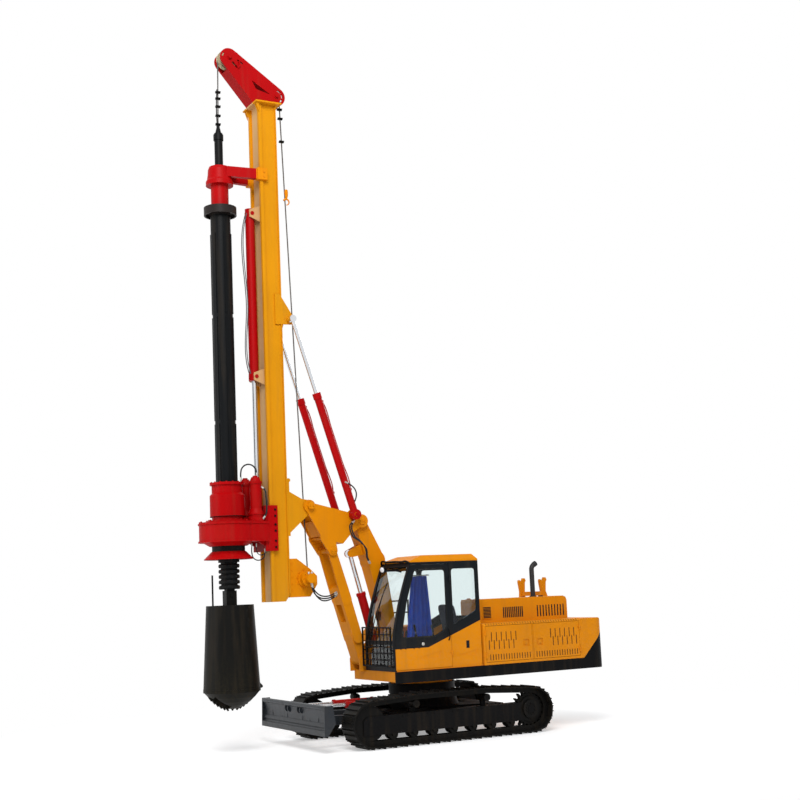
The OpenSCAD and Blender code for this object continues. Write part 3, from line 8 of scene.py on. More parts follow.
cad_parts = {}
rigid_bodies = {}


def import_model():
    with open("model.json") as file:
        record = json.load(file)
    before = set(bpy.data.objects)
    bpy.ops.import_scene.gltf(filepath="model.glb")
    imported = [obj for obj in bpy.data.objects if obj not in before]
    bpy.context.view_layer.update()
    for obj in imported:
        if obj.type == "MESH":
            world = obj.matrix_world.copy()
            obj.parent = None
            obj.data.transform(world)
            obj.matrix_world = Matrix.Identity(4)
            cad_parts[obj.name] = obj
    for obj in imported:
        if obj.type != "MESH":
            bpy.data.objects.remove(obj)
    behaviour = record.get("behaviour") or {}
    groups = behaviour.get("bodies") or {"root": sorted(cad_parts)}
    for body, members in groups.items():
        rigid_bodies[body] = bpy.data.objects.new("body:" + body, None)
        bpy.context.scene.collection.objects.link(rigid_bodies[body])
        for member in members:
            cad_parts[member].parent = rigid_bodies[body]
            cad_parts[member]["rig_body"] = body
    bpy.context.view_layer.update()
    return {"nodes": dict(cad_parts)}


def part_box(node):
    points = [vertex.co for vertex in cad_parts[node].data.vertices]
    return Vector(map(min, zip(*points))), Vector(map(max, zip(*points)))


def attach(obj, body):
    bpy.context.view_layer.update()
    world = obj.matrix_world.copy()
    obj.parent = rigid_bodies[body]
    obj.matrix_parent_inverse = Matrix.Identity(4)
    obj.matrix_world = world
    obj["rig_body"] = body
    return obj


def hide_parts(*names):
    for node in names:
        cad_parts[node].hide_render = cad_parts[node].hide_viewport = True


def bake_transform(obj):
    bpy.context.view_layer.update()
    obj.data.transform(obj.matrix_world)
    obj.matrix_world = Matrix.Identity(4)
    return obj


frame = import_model()
nodes = frame["nodes"]

# ---- Camera ----
# A long lens on a tripod at the left front of the rig, a little below the cab's roof, turned
# slightly on its own axis. The shift only frames the tall mast.
EYE = np.array([10.934, 19.533, 2.462])
YAW, PITCH, ROLL = 0.502, 0.135, -0.043
look = np.array([-np.sin(YAW) * np.cos(PITCH), -np.cos(YAW) * np.cos(PITCH), np.sin(PITCH)])
level = np.cross(look, [0, 0, 1])
level /= np.linalg.norm(level)
upright = np.cross(level, look)
across = np.cos(ROLL) * level + np.sin(ROLL) * upright
upward = -np.sin(ROLL) * level + np.cos(ROLL) * upright
camera = bpy.data.objects.new("camera", bpy.data.cameras.new("camera"))
bpy.context.scene.collection.objects.link(camera)
camera.data.lens = 58.35
camera.data.sensor_width = 36.0
camera.data.shift_x = 0.0015
camera.data.shift_y = 0.015
camera.data.clip_end = 300.0
axes = np.array([across, upward, -look]).T
camera.matrix_world = Matrix([list(row) + [EYE[i]] for i, row in enumerate(axes)] + [[0, 0, 0, 1]])
bpy.context.scene.camera = camera

bpy.context.scene.view_settings.view_transform = "Standard"

# ---- Studio ----
# A white cove with one large soft lamp high on the left, weaker ones at the front and back, and
# an even sky. What the camera, mirrors and glass see behind the rig is plain white.


def put(tree, kind, values=None, **settings):
    """Adds a node, sets its properties, and fills its inputs from numbers or other nodes' sockets."""
    node = tree.nodes.new(kind)
    for key, value in settings.items():
        setattr(node, key, value)
    for key, value in (values or {}).items():
        if isinstance(value, bpy.types.NodeSocket):
            tree.links.new(value, node.inputs[key])
        else:
            node.inputs[key].default_value = value
    return node


def fresh_tree(owner):
    """The owner's empty node tree."""
    owner.use_nodes = True
    owner.node_tree.nodes.clear()
    return owner.node_tree


def math(tree, operation, a, b=0.0, clamp=False):
    """One Math node's result."""
    return put(tree, "ShaderNodeMath", {0: a, 1: b}, operation=operation, use_clamp=clamp).outputs[0]


def remap(tree, value, low, high, to_low=0.0, to_high=1.0):
    """value moved from low..high to to_low..to_high, and held there."""
    limits = {"Value": value, "From Min": low, "From Max": high, "To Min": to_low, "To Max": to_high}
    return put(tree, "ShaderNodeMapRange", limits).outputs[0]


def seen_directly(tree):
    """1 for rays that the camera, a mirror or glass sends, and 0 for light that falls on the rig."""
    path = put(tree, "ShaderNodeLightPath").outputs
    mirror = math(tree, "MAXIMUM", path["Is Camera Ray"], path["Is Glossy Ray"])
    return math(tree, "MAXIMUM", mirror, path["Is Transmission Ray"])


world = bpy.data.worlds.new("studio")
bpy.context.scene.world = world
tree = fresh_tree(world)
sky = put(tree, "ShaderNodeBackground", {"Color": (0.96, 0.98, 1.0, 1), "Strength": 0.55})
white = put(tree, "ShaderNodeBackground", {"Color": (1, 1, 1, 1), "Strength": 1.0})
either = put(tree, "ShaderNodeMixShader", {0: seen_directly(tree), 1: sky.outputs[0], 2: white.outputs[0]})
put(tree, "ShaderNodeOutputWorld", {0: either.outputs[0]})

for name, place, size, power in (("key_lamp", (9, 14, 17), 9.0, 2850), ("front_lamp", (20, -2, 7), 8.0, 800),
                                 ("back_lamp", (-16, -10, 12), 8.0, 1100)):
    lamp = bpy.data.objects.new(name, bpy.data.lights.new(name, "AREA"))
    lamp.data.size = size
    lamp.data.energy = power
    lamp.location = place
    lamp.rotation_mode = "QUATERNION"
    lamp.rotation_quaternion = (Vector((0.8, 0, 4)) - Vector(place)).to_track_quat("-Z", "Y")
    bpy.context.scene.collection.objects.link(lamp)

SPOKES, FLOOR_RINGS = 64, np.array([0.01, 6, 14, 40, 120])
turns, rings = np.meshgrid(np.arange(SPOKES) * 2 * np.pi / SPOKES, FLOOR_RINGS, indexing="ij")
floor_points = np.stack([rings * np.cos(turns), rings * np.sin(turns), 0 * rings], -1)
corner = np.arange(floor_points[..., 0].size).reshape(turns.shape)
beside = np.roll(corner, -1, 0)
cells = np.stack([corner[:, :-1], corner[:, 1:], beside[:, 1:], beside[:, :-1]], -1).reshape(-1, 4)
floor_mesh = bpy.data.meshes.new("floor")
floor_mesh.from_pydata(floor_points.reshape(-1, 3).tolist(), [], cells.tolist())
floor = bpy.data.objects.new("floor", floor_mesh)
bpy.context.scene.collection.objects.link(floor)
cove = bpy.data.materials.new("cove")
tree = fresh_tree(cove)
on_floor = put(tree, "ShaderNodeTexCoord").outputs["Object"]
flat = put(tree, "ShaderNodeVectorMath", {0: on_floor}, operation="LENGTH")
far = remap(tree, flat.outputs["Value"], 4.5, 8.5)
matt = put(tree, "ShaderNodeBsdfDiffuse", {"Color": (0.84, 0.84, 0.84, 1)})
lift = put(tree, "ShaderNodeEmission", {"Color": (1, 1, 1, 1), "Strength": 0.36})
lifted = put(tree, "ShaderNodeAddShader", {0: matt.outputs[0], 1: lift.outputs[0]})
blank = put(tree, "ShaderNodeEmission", {"Color": (1, 1, 1, 1), "Strength": 1.0})
faded = put(tree, "ShaderNodeMixShader", {0: far, 1: lifted.outputs[0], 2: blank.outputs[0]})
shown = put(tree, "ShaderNodeMixShader", {0: seen_directly(tree), 1: matt.outputs[0], 2: faded.outputs[0]})
put(tree, "ShaderNodeOutputMaterial", {0: shown.outputs[0]})
floor_mesh.materials.append(cove)

# ---- Undercarriage and blade ----
# Welded steel frames on forged links with pressed three-bar shoes, painted chassis black, and a
# rolled dozer blade worn to bare steel. Hub and cover bolts are hexagon heads on washers.


def noise(tree, place, scale, detail=3.0, stretch=None):
    """Noise on object coordinates, stretched along the axes where it runs in streaks."""
    if stretch:
        place = put(tree, "ShaderNodeMapping", {"Vector": place, "Scale": stretch}).outputs[0]
    return put(tree, "ShaderNodeTexNoise", {"Vector": place, "Scale": scale, "Detail": detail}).outputs["Fac"]


def mix(tree, share, a, b):
    """Colour a where share is 0, and colour b where it is 1."""
    return put(tree, "ShaderNodeMix", {0: share, 6: a, 7: b}, data_type="RGBA").outputs[2]


def group_of(name, inputs, outputs):
    """An empty shader node group with named inputs (name, kind, default) and outputs (name, kind)."""
    group = bpy.data.node_groups.new(name, "ShaderNodeTree")
    for label, kind, default in inputs:
        socket = group.interface.new_socket(label, in_out="INPUT", socket_type=kind)
        if default is not None:
            socket.default_value = default
    for label, kind in outputs:
        group.interface.new_socket(label, in_out="OUTPUT", socket_type=kind)
    return group, put(group, "NodeGroupInput").outputs, put(group, "NodeGroupOutput").inputs


# Enamel wears alike on all the steelwork: rain streaks, dust that thickens towards the ground,
# and small chips down to primer or steel.
COLOUR, VALUE, PLACE = "NodeSocketColor", "NodeSocketFloat", "NodeSocketVector"
wear, given, out = group_of("steelwork_wear", [
    ("Place", PLACE, None), ("Paint", COLOUR, (1, 1, 1, 1)), ("Bare", COLOUR, (0.2, 0.19, 0.18, 1)),
    ("Soil", COLOUR, (0.32, 0.26, 0.19, 1)), ("Dust", VALUE, 0.3), ("Dust Top", VALUE, 2.0),
    ("Chips", VALUE, 0.2), ("Gloss", VALUE, 0.35)],
    [("Colour", COLOUR), ("Roughness", VALUE), ("Height", VALUE), ("Chipped", VALUE)])
cloud = noise(wear, given["Place"], 1.1)
streak = remap(wear, noise(wear, given["Place"], 5.0, 4.0, (2.2, 2.2, 0.16)), 0.5, 0.78)
high = put(wear, "ShaderNodeSeparateXYZ", {0: given["Place"]}).outputs[2]
near_ground = math(wear, "SUBTRACT", 1.0, math(wear, "DIVIDE", high, given["Dust Top"]), clamp=True)
speckle = noise(wear, given["Place"], 26.0, 6.0)
layer = math(wear, "MULTIPLY", near_ground, remap(wear, speckle, 0.3, 0.75))
settled = math(wear, "MULTIPLY", layer, given["Dust"], clamp=True)
chip = remap(wear, noise(wear, given["Place"], 75.0, 2.0), 0.735, 0.75)
chip_zone = math(wear, "MULTIPLY", chip, remap(wear, cloud, 0.42, 0.6))
chipped = math(wear, "MULTIPLY", chip_zone, given["Chips"], clamp=True)
shade = remap(wear, cloud, 0.3, 0.7, 0.92, 1.05)
even = put(wear, "ShaderNodeVectorMath", {0: given["Paint"], 3: shade}, operation="SCALE").outputs[0]
dulled = mix(wear, math(wear, "MULTIPLY", streak, 0.13), even, (0.1, 0.07, 0.04, 1))
dusty = mix(wear, settled, dulled, given["Soil"])
wear.links.new(mix(wear, chipped, dusty, given["Bare"]), out["Colour"])
base_rough = math(wear, "ADD", given["Gloss"], math(wear, "MULTIPLY", streak, 0.12))
rough = math(wear, "ADD", base_rough, math(wear, "MULTIPLY", settled, 0.5), clamp=True)
wear.links.new(rough, out["Roughness"])
orange_peel = math(wear, "MULTIPLY", noise(wear, given["Place"], 210.0, 1.0), 0.12)
raised_dust = math(wear, "ADD", orange_peel, math(wear, "MULTIPLY", settled, 0.5))
wear.links.new(math(wear, "SUBTRACT", raised_dust, math(wear, "MULTIPLY", chipped, 0.6)), out["Height"])
wear.links.new(chipped, out["Chipped"])


def finish(name, paint, gloss=0.4, dust=0.3, dust_top=2.0, chips=0.2, metal=0.0, coat=0.0, bump=0.25,
           bare=(0.2, 0.19, 0.18), soil=(0.32, 0.26, 0.19), specular=0.35, zones=()):
    """One worn finish from the shared wear group. Each zone paints another colour where its mask,
    made by a function of the tree and the object's coordinates, is 1."""
    material = bpy.data.materials.new(name)
    tree = fresh_tree(material)
    place = put(tree, "ShaderNodeTexCoord").outputs["Object"]
    worn = put(tree, "ShaderNodeGroup", node_tree=wear)
    tree.links.new(place, worn.inputs["Place"])
    values = {"Paint": paint + (1,), "Bare": bare + (1,), "Soil": soil + (1,), "Dust": dust,
              "Dust Top": dust_top, "Chips": chips, "Gloss": gloss}
    for key, value in values.items():
        worn.inputs[key].default_value = value
    colour = None
    for mask, other in zones:
        colour = mix(tree, mask(tree, place), paint + (1,) if colour is None else colour, other + (1,))
    if colour:
        tree.links.new(colour, worn.inputs["Paint"])
    relief = {"Strength": bump, "Distance": 0.004, "Height": worn.outputs["Height"]}
    raised = put(tree, "ShaderNodeBump", relief)
    shader = put(tree, "ShaderNodeBsdfPrincipled", {
        "Base Color": worn.outputs["Colour"], "Roughness": worn.outputs["Roughness"], "Metallic": metal,
        "Coat Weight": coat, "Coat Roughness": 0.15, "Specular IOR Level": specular,
        "Normal": raised.outputs[0]})
    put(tree, "ShaderNodeOutputMaterial", {0: shader.outputs[0]})
    return material


def wear_it(material, *names):
    """Gives CAD nodes their finish."""
    for name in names:
        mesh = nodes[name].data
        mesh.materials.clear()
        mesh.materials.append(material)


def along(path, radius, around=12):
    """A round section carried along a path: centre + radius (cos a . side + sin a . up), where side
    and up stand square to the path. Gives one ring of points for each point of the path."""
    path = np.asarray(path, float)
    run = np.gradient(path, axis=0)
    run /= np.linalg.norm(run, axis=1, keepdims=True)
    side = np.cross(run, np.eye(3)[np.argmin(np.abs(run).max(0))])
    side /= np.linalg.norm(side, axis=1, keepdims=True)
    up = np.cross(run, side)
    turn = np.arange(around) * 2 * np.pi / around
    spoke = np.cos(turn)[None, :, None] * side[:, None] + np.sin(turn)[None, :, None] * up[:, None]
    return path[:, None] + np.broadcast_to(radius, len(path))[:, None, None] * spoke


def closed_net(grid, start):
    """Faces over rings of points: a four-sided cell between each two neighbours, and a face over
    each end ring."""
    index = np.arange(grid.shape[0] * grid.shape[1]).reshape(grid.shape[:2]) + start
    beside = np.roll(index, -1, 1)
    cells = np.stack([index[:-1], beside[:-1], beside[1:], index[1:]], -1).reshape(-1, 4)
    return cells.tolist() + [index[0][::-1].tolist(), index[-1].tolist()]


def piece(name, grids, material, body, sharp=0.6):
    """One mesh from several closed grids of points, smooth up to the angle sharp, riding on a body."""
    starts = np.cumsum([0] + [g.shape[0] * g.shape[1] for g in grids])
    faces = sum((closed_net(g, start) for g, start in zip(grids, starts)), [])
    mesh = bpy.data.meshes.new(name)
    mesh.from_pydata(np.concatenate([g.reshape(-1, 3) for g in grids]).tolist(), [], faces)
    mesh.materials.append(material)
    mesh.shade_smooth()
    mesh.set_sharp_from_angle(angle=sharp)
    thing = bpy.data.objects.new(name, mesh)
    bpy.context.scene.collection.objects.link(thing)
    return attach(thing, body)


def bolt_heads(places, outward, width):
    """Hexagon heads on washers, one closed grid each. The heads' radius over an angle a is that of a
    hexagon, and the rings climb from washer to head."""
    outward = np.asarray(outward, float) / np.linalg.norm(outward)
    side = np.cross(outward, np.eye(3)[np.argmin(np.abs(outward))])
    side /= np.linalg.norm(side)
    up = np.cross(outward, side)
    turn = np.arange(12) * np.pi / 6
    hexagon = np.cos(np.pi / 6) / np.cos((turn + np.pi / 6) % (np.pi / 3) - np.pi / 6)
    height = np.array([-0.1, 0.1, 0.1, 0.55, 0.62])[:, None, None] * width
    washer = np.full(12, 0.72)
    reach = np.stack([washer, washer, 0.58 * hexagon, 0.58 * hexagon, 0.5 * hexagon]) * width
    spoke = np.cos(turn)[:, None] * side + np.sin(turn)[:, None] * up
    head = height * outward + reach[:, :, None] * spoke[None]
    return [np.asarray(place, float) + head for place in places]


def circle(centre, axis, radius, count, first=0.0):
    """count points evenly round an axis (0, 1 or 2) through centre."""
    turn = first + np.arange(count) * 2 * np.pi / count
    ring = np.zeros((count, 3))
    ring[:, (axis + 1) % 3] = radius * np.cos(turn)
    ring[:, (axis + 2) % 3] = radius * np.sin(turn)
    return ring + np.asarray(centre, float)


black = finish("chassis_black", (0.0035, 0.0035, 0.004), gloss=0.48, dust=0.12, dust_top=1.2, chips=0.0,
               soil=(0.035, 0.03, 0.024), specular=0.07)
tread = finish("tread_steel", (0.0045, 0.0043, 0.004), gloss=0.5, dust=0.12, dust_top=0.9, chips=0.2,
               bump=0.5, soil=(0.04, 0.035, 0.028), bare=(0.035, 0.033, 0.03), specular=0.09)
board = finish("blade_steel", (0.018, 0.022, 0.028), gloss=0.4, dust=0.35, dust_top=0.6, chips=0.9, metal=0.3,
               bare=(0.2, 0.2, 0.2), soil=(0.12, 0.105, 0.08))
zinc = finish("zinc_plate", (0.5, 0.49, 0.46), gloss=0.32, dust=0.1, chips=0.0, metal=0.9, bump=0.1)
wear_it(black, "car_body", "track_frames")
wear_it(tread, "track_left", "track_right", "sprockets", "rollers")
wear_it(board, "blade")

frame_low, frame_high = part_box("track_frames")
sprocket_low, sprocket_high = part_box("sprockets")
hub = [(sprocket_low.x + sprocket_high.x) / 2, sprocket_high.y, (sprocket_low.z + sprocket_high.z) / 2]
hub_bolts = []
for side in (1, -1):
    face = [hub[0], side * hub[1], hub[2]]
    hub_bolts += bolt_heads(circle(face, 1, 0.085, 10), (0, side, 0), 0.022)
piece("final_drive_bolts", hub_bolts, tread, "undercarriage")
drive_cover = [along([[hub[0], s * (hub[1] - 0.004), hub[2]], [hub[0], s * (hub[1] + 0.006), hub[2]],
                      [hub[0], s * (hub[1] + 0.012), hub[2]]], [0.062, 0.062, 0.045], 32) for s in (1, -1)]
piece("final_drive_covers", drive_cover, black, "undercarriage")
cover_x = np.linspace(frame_low.x + 0.75, frame_high.x - 0.75, 5)
cover_bolts = []
for side in (1, -1):
    spots = [[x + dx, side * frame_high.y, 0.47] for x in cover_x for dx in (-0.05, 0.05)]
    cover_bolts += bolt_heads(spots, (0, side, 0), 0.02)
piece("track_frame_bolts", cover_bolts, black, "undercarriage")

# ---- Upper frame, counterweight and hood ----
# Pressed and folded steel sheet over a welded frame, enamelled amber, with the sill and tail corner
# in chassis black. Black blocks in the punched slots are painted shade, and a flush latch sits in each side
# door.
amber = finish("amber_enamel", (0.72, 0.24, 0.0006), gloss=0.48, dust=0.2, dust_top=2.4, chips=0.12,
               specular=0.08)
slate = finish("slate_enamel", (0.006, 0.0078, 0.010), gloss=0.45, dust=0.1, chips=0.3,
               bare=(0.12, 0.12, 0.13), specular=0.1)
plain_grey = finish("engine_grey", (0.09, 0.09, 0.095), gloss=0.5, dust=0.3)
stained = finish("exhaust_steel", (0.03, 0.03, 0.032), gloss=0.5, dust=0.1, chips=0.3, metal=0.5)
# Near-black painted shade for the punched slots, the gaps of the cooler vent and the rear latch's recess.
shade_black = finish("painted_slot_shade", (0.004, 0.004, 0.005), gloss=0.6, dust=0.0, chips=0.0, specular=0.2)
wear_it(amber, "hood", "door_left_front", "door_left_rear", "door_right_front", "door_right_rear", "hood_lid",
        "mast_cradle", "side_box", "counterweight", "deck")
wear_it(black, "skirt", "handrails")
wear_it(plain_grey, "engine")
wear_it(stained, "exhaust")


def slab(low, high, edge, rings=5, corner=5):
    """A block with rounded edges: a rectangle with quarter-circle corners, stacked upwards and drawn
    in along a quarter circle near its foot and its top."""
    low, high = np.asarray(low, float), np.asarray(high, float)
    half, centre = (high - low) / 2, (high + low) / 2
    bend = np.linspace(0.25, np.pi / 2, rings)
    reach = np.concatenate([edge * np.sin(bend), edge * np.sin(bend[::-1])])
    drop = edge * (1 - np.cos(bend))
    height = np.concatenate([-half[2] + drop, (half[2] - drop)[::-1]])
    turn = (np.arange(4)[:, None] * np.pi / 2 + np.linspace(0, np.pi / 2, corner)[None]).ravel()
    sign = np.repeat([[1, 1], [-1, 1], [-1, -1], [1, -1]], corner, 0)
    inner = sign * (half[:2] - edge)
    rim = inner[None] + reach[:, None, None] * np.stack([np.cos(turn), np.sin(turn)], -1)[None]
    return np.concatenate([rim, np.broadcast_to(height[:, None, None], rim.shape[:2] + (1,))], -1) + centre


SLOT, DOOR_Y = 0.016, 1.245
SHORT_PITCH, LONG_PITCH = 0.052, 0.048  # of the low row of short slots, and of the long ones above
DOORS = {"door_left_front": 1, "door_left_rear": 1, "door_right_front": -1, "door_right_rear": -1}


def shade_block(x, low_z, high_z, face, side):
    """A black block filling one punched slot, a hair proud of the sheet: painted shade for the opening."""
    inner, outer = sorted((face - side * 0.004, face + side * 0.0012))
    return slab([x - 0.004, inner, low_z - 0.004], [x + SLOT + 0.004, outer, high_z + 0.004], 0.0012, 2, 2)


for name, side in DOORS.items():
    low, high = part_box(name)
    forward = "front" in name
    x0, x1 = (-1.462, -0.540) if forward else (-2.430, -1.478)
    slot_shades = [shade_block(x0 + SHORT_PITCH + SHORT_PITCH * i, 1.229, 1.322, side * DOOR_Y, side)
               for i in range(int((x1 - x0 - 0.110) / SHORT_PITCH) + 1)]
    for i in range(int((x1 - x0 - 0.380) / LONG_PITCH) + 1):
        x = x1 - 0.076 - LONG_PITCH * i if forward else x0 + 0.060 + LONG_PITCH * i
        foot = 1.532 if i % 2 else 1.402
        slot_shades.append(shade_block(x, foot, foot + 0.15, side * DOOR_Y, side))
    piece("slot_shade_" + name, slot_shades, shade_black, name)
    x = -1.332 if forward else -1.608
    y = sorted((side * 1.240, side * 1.2475))
    plate = [slab([x - 0.034, y[0], 1.447], [x + 0.034, y[1], 1.507], 0.002)]
    y = sorted((side * 1.243, side * 1.2515))
    plate.append(slab([x - 0.014, y[0], 1.462], [x + 0.014, y[1], 1.492], 0.003))
    piece("latch_" + name, plate, amber, name)

hood_low, hood_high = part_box("hood")
RAISED_Y = 0.85
vent = [slab([-0.93, RAISED_Y - 0.004, 1.885], [-0.75, RAISED_Y + 0.012, 2.105], 0.006)]
piece("cooler_vent_frame", vent, amber, "upper")
# The vent's slats are near-black: painted shade in the grille.
slats = [slab([-0.915, RAISED_Y + 0.008, z], [-0.765, RAISED_Y + 0.018, z + 0.016], 0.005)
         for z in np.linspace(1.905, 2.07, 8)]
piece("cooler_vent_slats", slats, shade_black, "upper")
# Black rods in the hood chamfer's slots and black blocks in the raised hood's slots: painted shade for the
# openings.
edge_slots = [along([[x, side * 1.236, 1.794], [x, side * 1.224, 1.806], [x, side * 1.212, 1.818]], 0.0075, 8)
              for side in (1, -1) for x in -0.567 - SHORT_PITCH * np.arange(36)]
piece("slot_shade_hood_chamfer", edge_slots, shade_black, "upper")
raised_slots = [shade_block(-2.42 + 0.06 * i + 0.003, 1.887, 2.072, RAISED_Y, 1) for i in range(10)]
raised_slots += [shade_block(-1.56 + 0.038 * i - 0.003, 1.897, 2.067, RAISED_Y, 1) for i in range(11)]
piece("slot_shade_raised_hood", raised_slots, shade_black, "upper")
cap_spot = [hood_low.x + 0.35, RAISED_Y - 0.28, hood_high.z - 0.03]
filler = along([[cap_spot[0], cap_spot[1], cap_spot[2] + z] for z in (-0.01, 0.0, 0.02, 0.024)],
               [0.045, 0.045, 0.042, 0.034], 24)
piece("coolant_cap", [filler], black, "upper")
weight_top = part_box("counterweight")[1].z
plugs = [along([[-2.62, y, weight_top + z] for z in (-0.01, 0.004, 0.007)], [0.03, 0.03, 0.024], 20)
         for y in (-0.5, 0.5)]
piece("counterweight_plugs", plugs, black, "upper")

# ---- Shade behind the slots ----
# Black sheets inside the slotted doors and the raised hood: painted shade that shows through
# the slots.
# These near-black sheets are painted shade behind the slots and the vent.
foam = finish("painted_shade_sheet", (0.004, 0.004, 0.004), gloss=0.9, dust=0.0, chips=0.0, specular=0.05)
for name, side in DOORS.items():
    low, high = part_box(name)
    inner = side * 1.2045
    sheet_low = [low.x + 0.045, min(inner, inner + side * 0.012), low.z + 0.02]
    sheet_high = [high.x - 0.045, max(inner, inner + side * 0.012), high.z - 0.02]
    piece("shade_sheet_" + name, [slab(sheet_low, sheet_high, 0.003)], foam, name)
piece("shade_sheet_raised_hood", [slab([-2.44, 0.80, 1.86], [-0.76, 0.83, 2.13], 0.004)], foam, "upper")

# ---- Cab shell ----
# A welded tube cab in slate enamel with an amber roof and lower sides. A work lamp hangs under the
# roof's front edge, two black bars run along that edge, and rubber frames the door's window.
wear_it(amber, "cab_base", "cab_door_skin", "cab_roof")
wear_it(slate, "cab_frame", "cab_door")
wear_it(black, "cab_guard")
rubber = finish("window_rubber", (0.006, 0.006, 0.006), gloss=0.65, dust=0.12, chips=0.0, specular=0.25)


def through(points, count):
    """A smooth line through points: cubic Hermite pieces over the chord length, with each point's
    slope taken from its neighbours."""
    points = np.asarray(points, float)
    reach = np.concatenate([[0], np.cumsum(np.linalg.norm(np.diff(points, axis=0), axis=1))])
    slope = np.gradient(points, reach, axis=0)
    where = np.linspace(0, reach[-1], count)
    i = np.clip(np.searchsorted(reach, where, "right") - 1, 0, len(points) - 2)
    span = (reach[i + 1] - reach[i])[:, None]
    t = (where - reach[i])[:, None] / span
    return ((2 * t**3 - 3 * t**2 + 1) * points[i] + (t**3 - 2 * t**2 + t) * span * slope[i]
            + (3 * t**2 - 2 * t**3) * points[i + 1] + (t**3 - t**2) * span * slope[i + 1])


def pane_rim(name, y_from, width, inside=0.0):
    """The outline of a flat pane in x and z, as a closed strip of rubber round its edge: the pane's
    corners in order of their bearing from its middle."""
    flat = np.array([v.co for v in nodes[name].data.vertices])
    flat = np.unique(np.round(flat[flat[:, 1] > y_from][:, [0, 2]], 4), axis=0)
    middle = (flat.min(0) + flat.max(0)) / 2
    order = np.argsort(np.arctan2(*(flat - middle).T[::-1]))
    rim = flat[order]
    rim = rim + (middle - rim) / np.linalg.norm(middle - rim, axis=1, keepdims=True) * inside
    rim = np.concatenate([rim, rim[:1], rim[1:2]])
    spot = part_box(name)[1].y + 0.001
    return along(np.stack([rim[:, 0], np.full(len(rim), spot), rim[:, 1]], -1), width, 8)


piece("door_window_rubber", [pane_rim("cab_door_glass", 1.19, 0.011, 0.008)], rubber, "cab_door")
bar = through([(0.80, 0.25, 2.85), (0.815, 0.27, 2.885), (0.82, 0.5, 2.892), (0.815, 0.95, 2.882),
               (0.81, 1.19, 2.862), (0.795, 1.21, 2.84)], 40)
low_bar = through([(0.835, 0.44, 2.745), (0.85, 0.47, 2.75), (0.85, 0.96, 2.73), (0.835, 0.99, 2.722)], 24)
piece("roof_edge_bars", [along(bar, 0.017), along(low_bar, 0.013)], black, "upper")
LAMP = np.array([0.905, 0.50, 2.775])
aim = np.array([0.93, 0.35, -0.12])
shell = [along([LAMP + aim * t for t in (-0.06, -0.055, -0.02, 0.012, 0.03, 0.031)],
               [0.018, 0.034, 0.048, 0.052, 0.052, 0.045], 28),
         along([LAMP + aim * -0.03, LAMP + [-0.035, 0, 0.06], LAMP + [-0.05, 0, 0.1]], 0.012)]
piece("work_lamp_shell", shell, black, "upper")
lens_glass = finish("lamp_lens", (0.86, 0.88, 0.9), gloss=0.15, dust=0.0, chips=0.0, coat=0.6, specular=0.5)
lens = along([LAMP + aim * t for t in (0.026, 0.034, 0.04, 0.043)], [0.044, 0.042, 0.032, 0.012], 28)
piece("work_lamp_lens", [lens], lens_glass, "upper")
wiper_path = through([(1.142, 0.42, 1.62), (1.150, 0.46, 1.70), (1.125, 0.58, 2.02), (1.06, 0.72, 2.34)], 24)
blade_path = through([(1.142, 0.63, 1.80), (1.112, 0.67, 2.10), (1.06, 0.72, 2.34), (0.985, 0.77, 2.55)], 24)
piece("wiper", [along(wiper_path, 0.008), along(blade_path, 0.007)], black, "upper")
# A near-black patch on the rear panel: painted shade in the latch's recess.
base_latch = [slab([-0.245, 1.214, 1.455], [-0.185, 1.2235, 1.575], 0.004)]
piece("rear_panel_latch", base_latch, shade_black, "upper")
hinge_bolts = bolt_heads([(x, 1.222, 1.515) for x in (0.70, 0.79, 0.94, 1.03)], (0, 1, 0), 0.022)
piece("door_frame_bolts", hinge_bolts, slate, "cab_door")
lock = along([(0.62, y, 1.565) for y in (1.212, 1.226, 1.232, 1.2335)], [0.026, 0.026, 0.02, 0.008], 24)
piece("door_lock_barrel", [lock], zinc, "cab_door")
handle = through([(0.14, 1.222, 1.60), (0.14, 1.240, 1.62), (0.14, 1.240, 1.76), (0.14, 1.222, 1.78)], 20)
piece("door_handle", [along(handle, 0.009)], black, "cab_door")

# ---- Cab glass ----
# Toughened sheet glass with hardly any tint, set in rubber, lightly smeared.
glass = bpy.data.materials.new("cab_glass")
tree = fresh_tree(glass)
smear = noise(tree, put(tree, "ShaderNodeTexCoord").outputs["Object"], 3.0)
pane = put(tree, "ShaderNodeBsdfPrincipled", {
    "Base Color": (0.86, 0.92, 0.92, 1), "Roughness": remap(tree, smear, 0.3, 0.8, 0.0, 0.05),
    "Transmission Weight": 1.0, "IOR": 1.25})
put(tree, "ShaderNodeOutputMaterial", {0: pane.outputs[0]})
wear_it(glass, "cab_glass", "cab_door_glass")

# ---- Driver's seat ----
# A sprung pedestal with a foam cushion and backrest in woven cloth, sewn down in two channels,
# between two moulded consoles.
cloth_weave, given, out = group_of("cloth_weave", [("Place", PLACE, None), ("Thread", VALUE, 300.0),
                                                   ("Colour", COLOUR, (1, 1, 1, 1))],
                                   [("Colour", COLOUR), ("Height", VALUE)])
threads = {"Vector": given["Place"], "Scale": given["Thread"]}
warp = put(cloth_weave, "ShaderNodeTexWave", threads, bands_direction="Y")
weft = put(cloth_weave, "ShaderNodeTexWave", threads, bands_direction="Z")
thread = math(cloth_weave, "MAXIMUM", warp.outputs["Fac"], weft.outputs["Fac"])
faded_cloth = noise(cloth_weave, given["Place"], 6.0, 4.0)
lit_thread = remap(cloth_weave, thread, 0, 1, 0.75, 1.0)
tone = math(cloth_weave, "ADD", lit_thread, remap(cloth_weave, faded_cloth, 0.3, 0.7, -0.1, 0.12))
toned = put(cloth_weave, "ShaderNodeVectorMath", {0: given["Colour"], 3: tone}, operation="SCALE").outputs[0]
cloth_weave.links.new(toned, out["Colour"])
cloth_weave.links.new(thread, out["Height"])


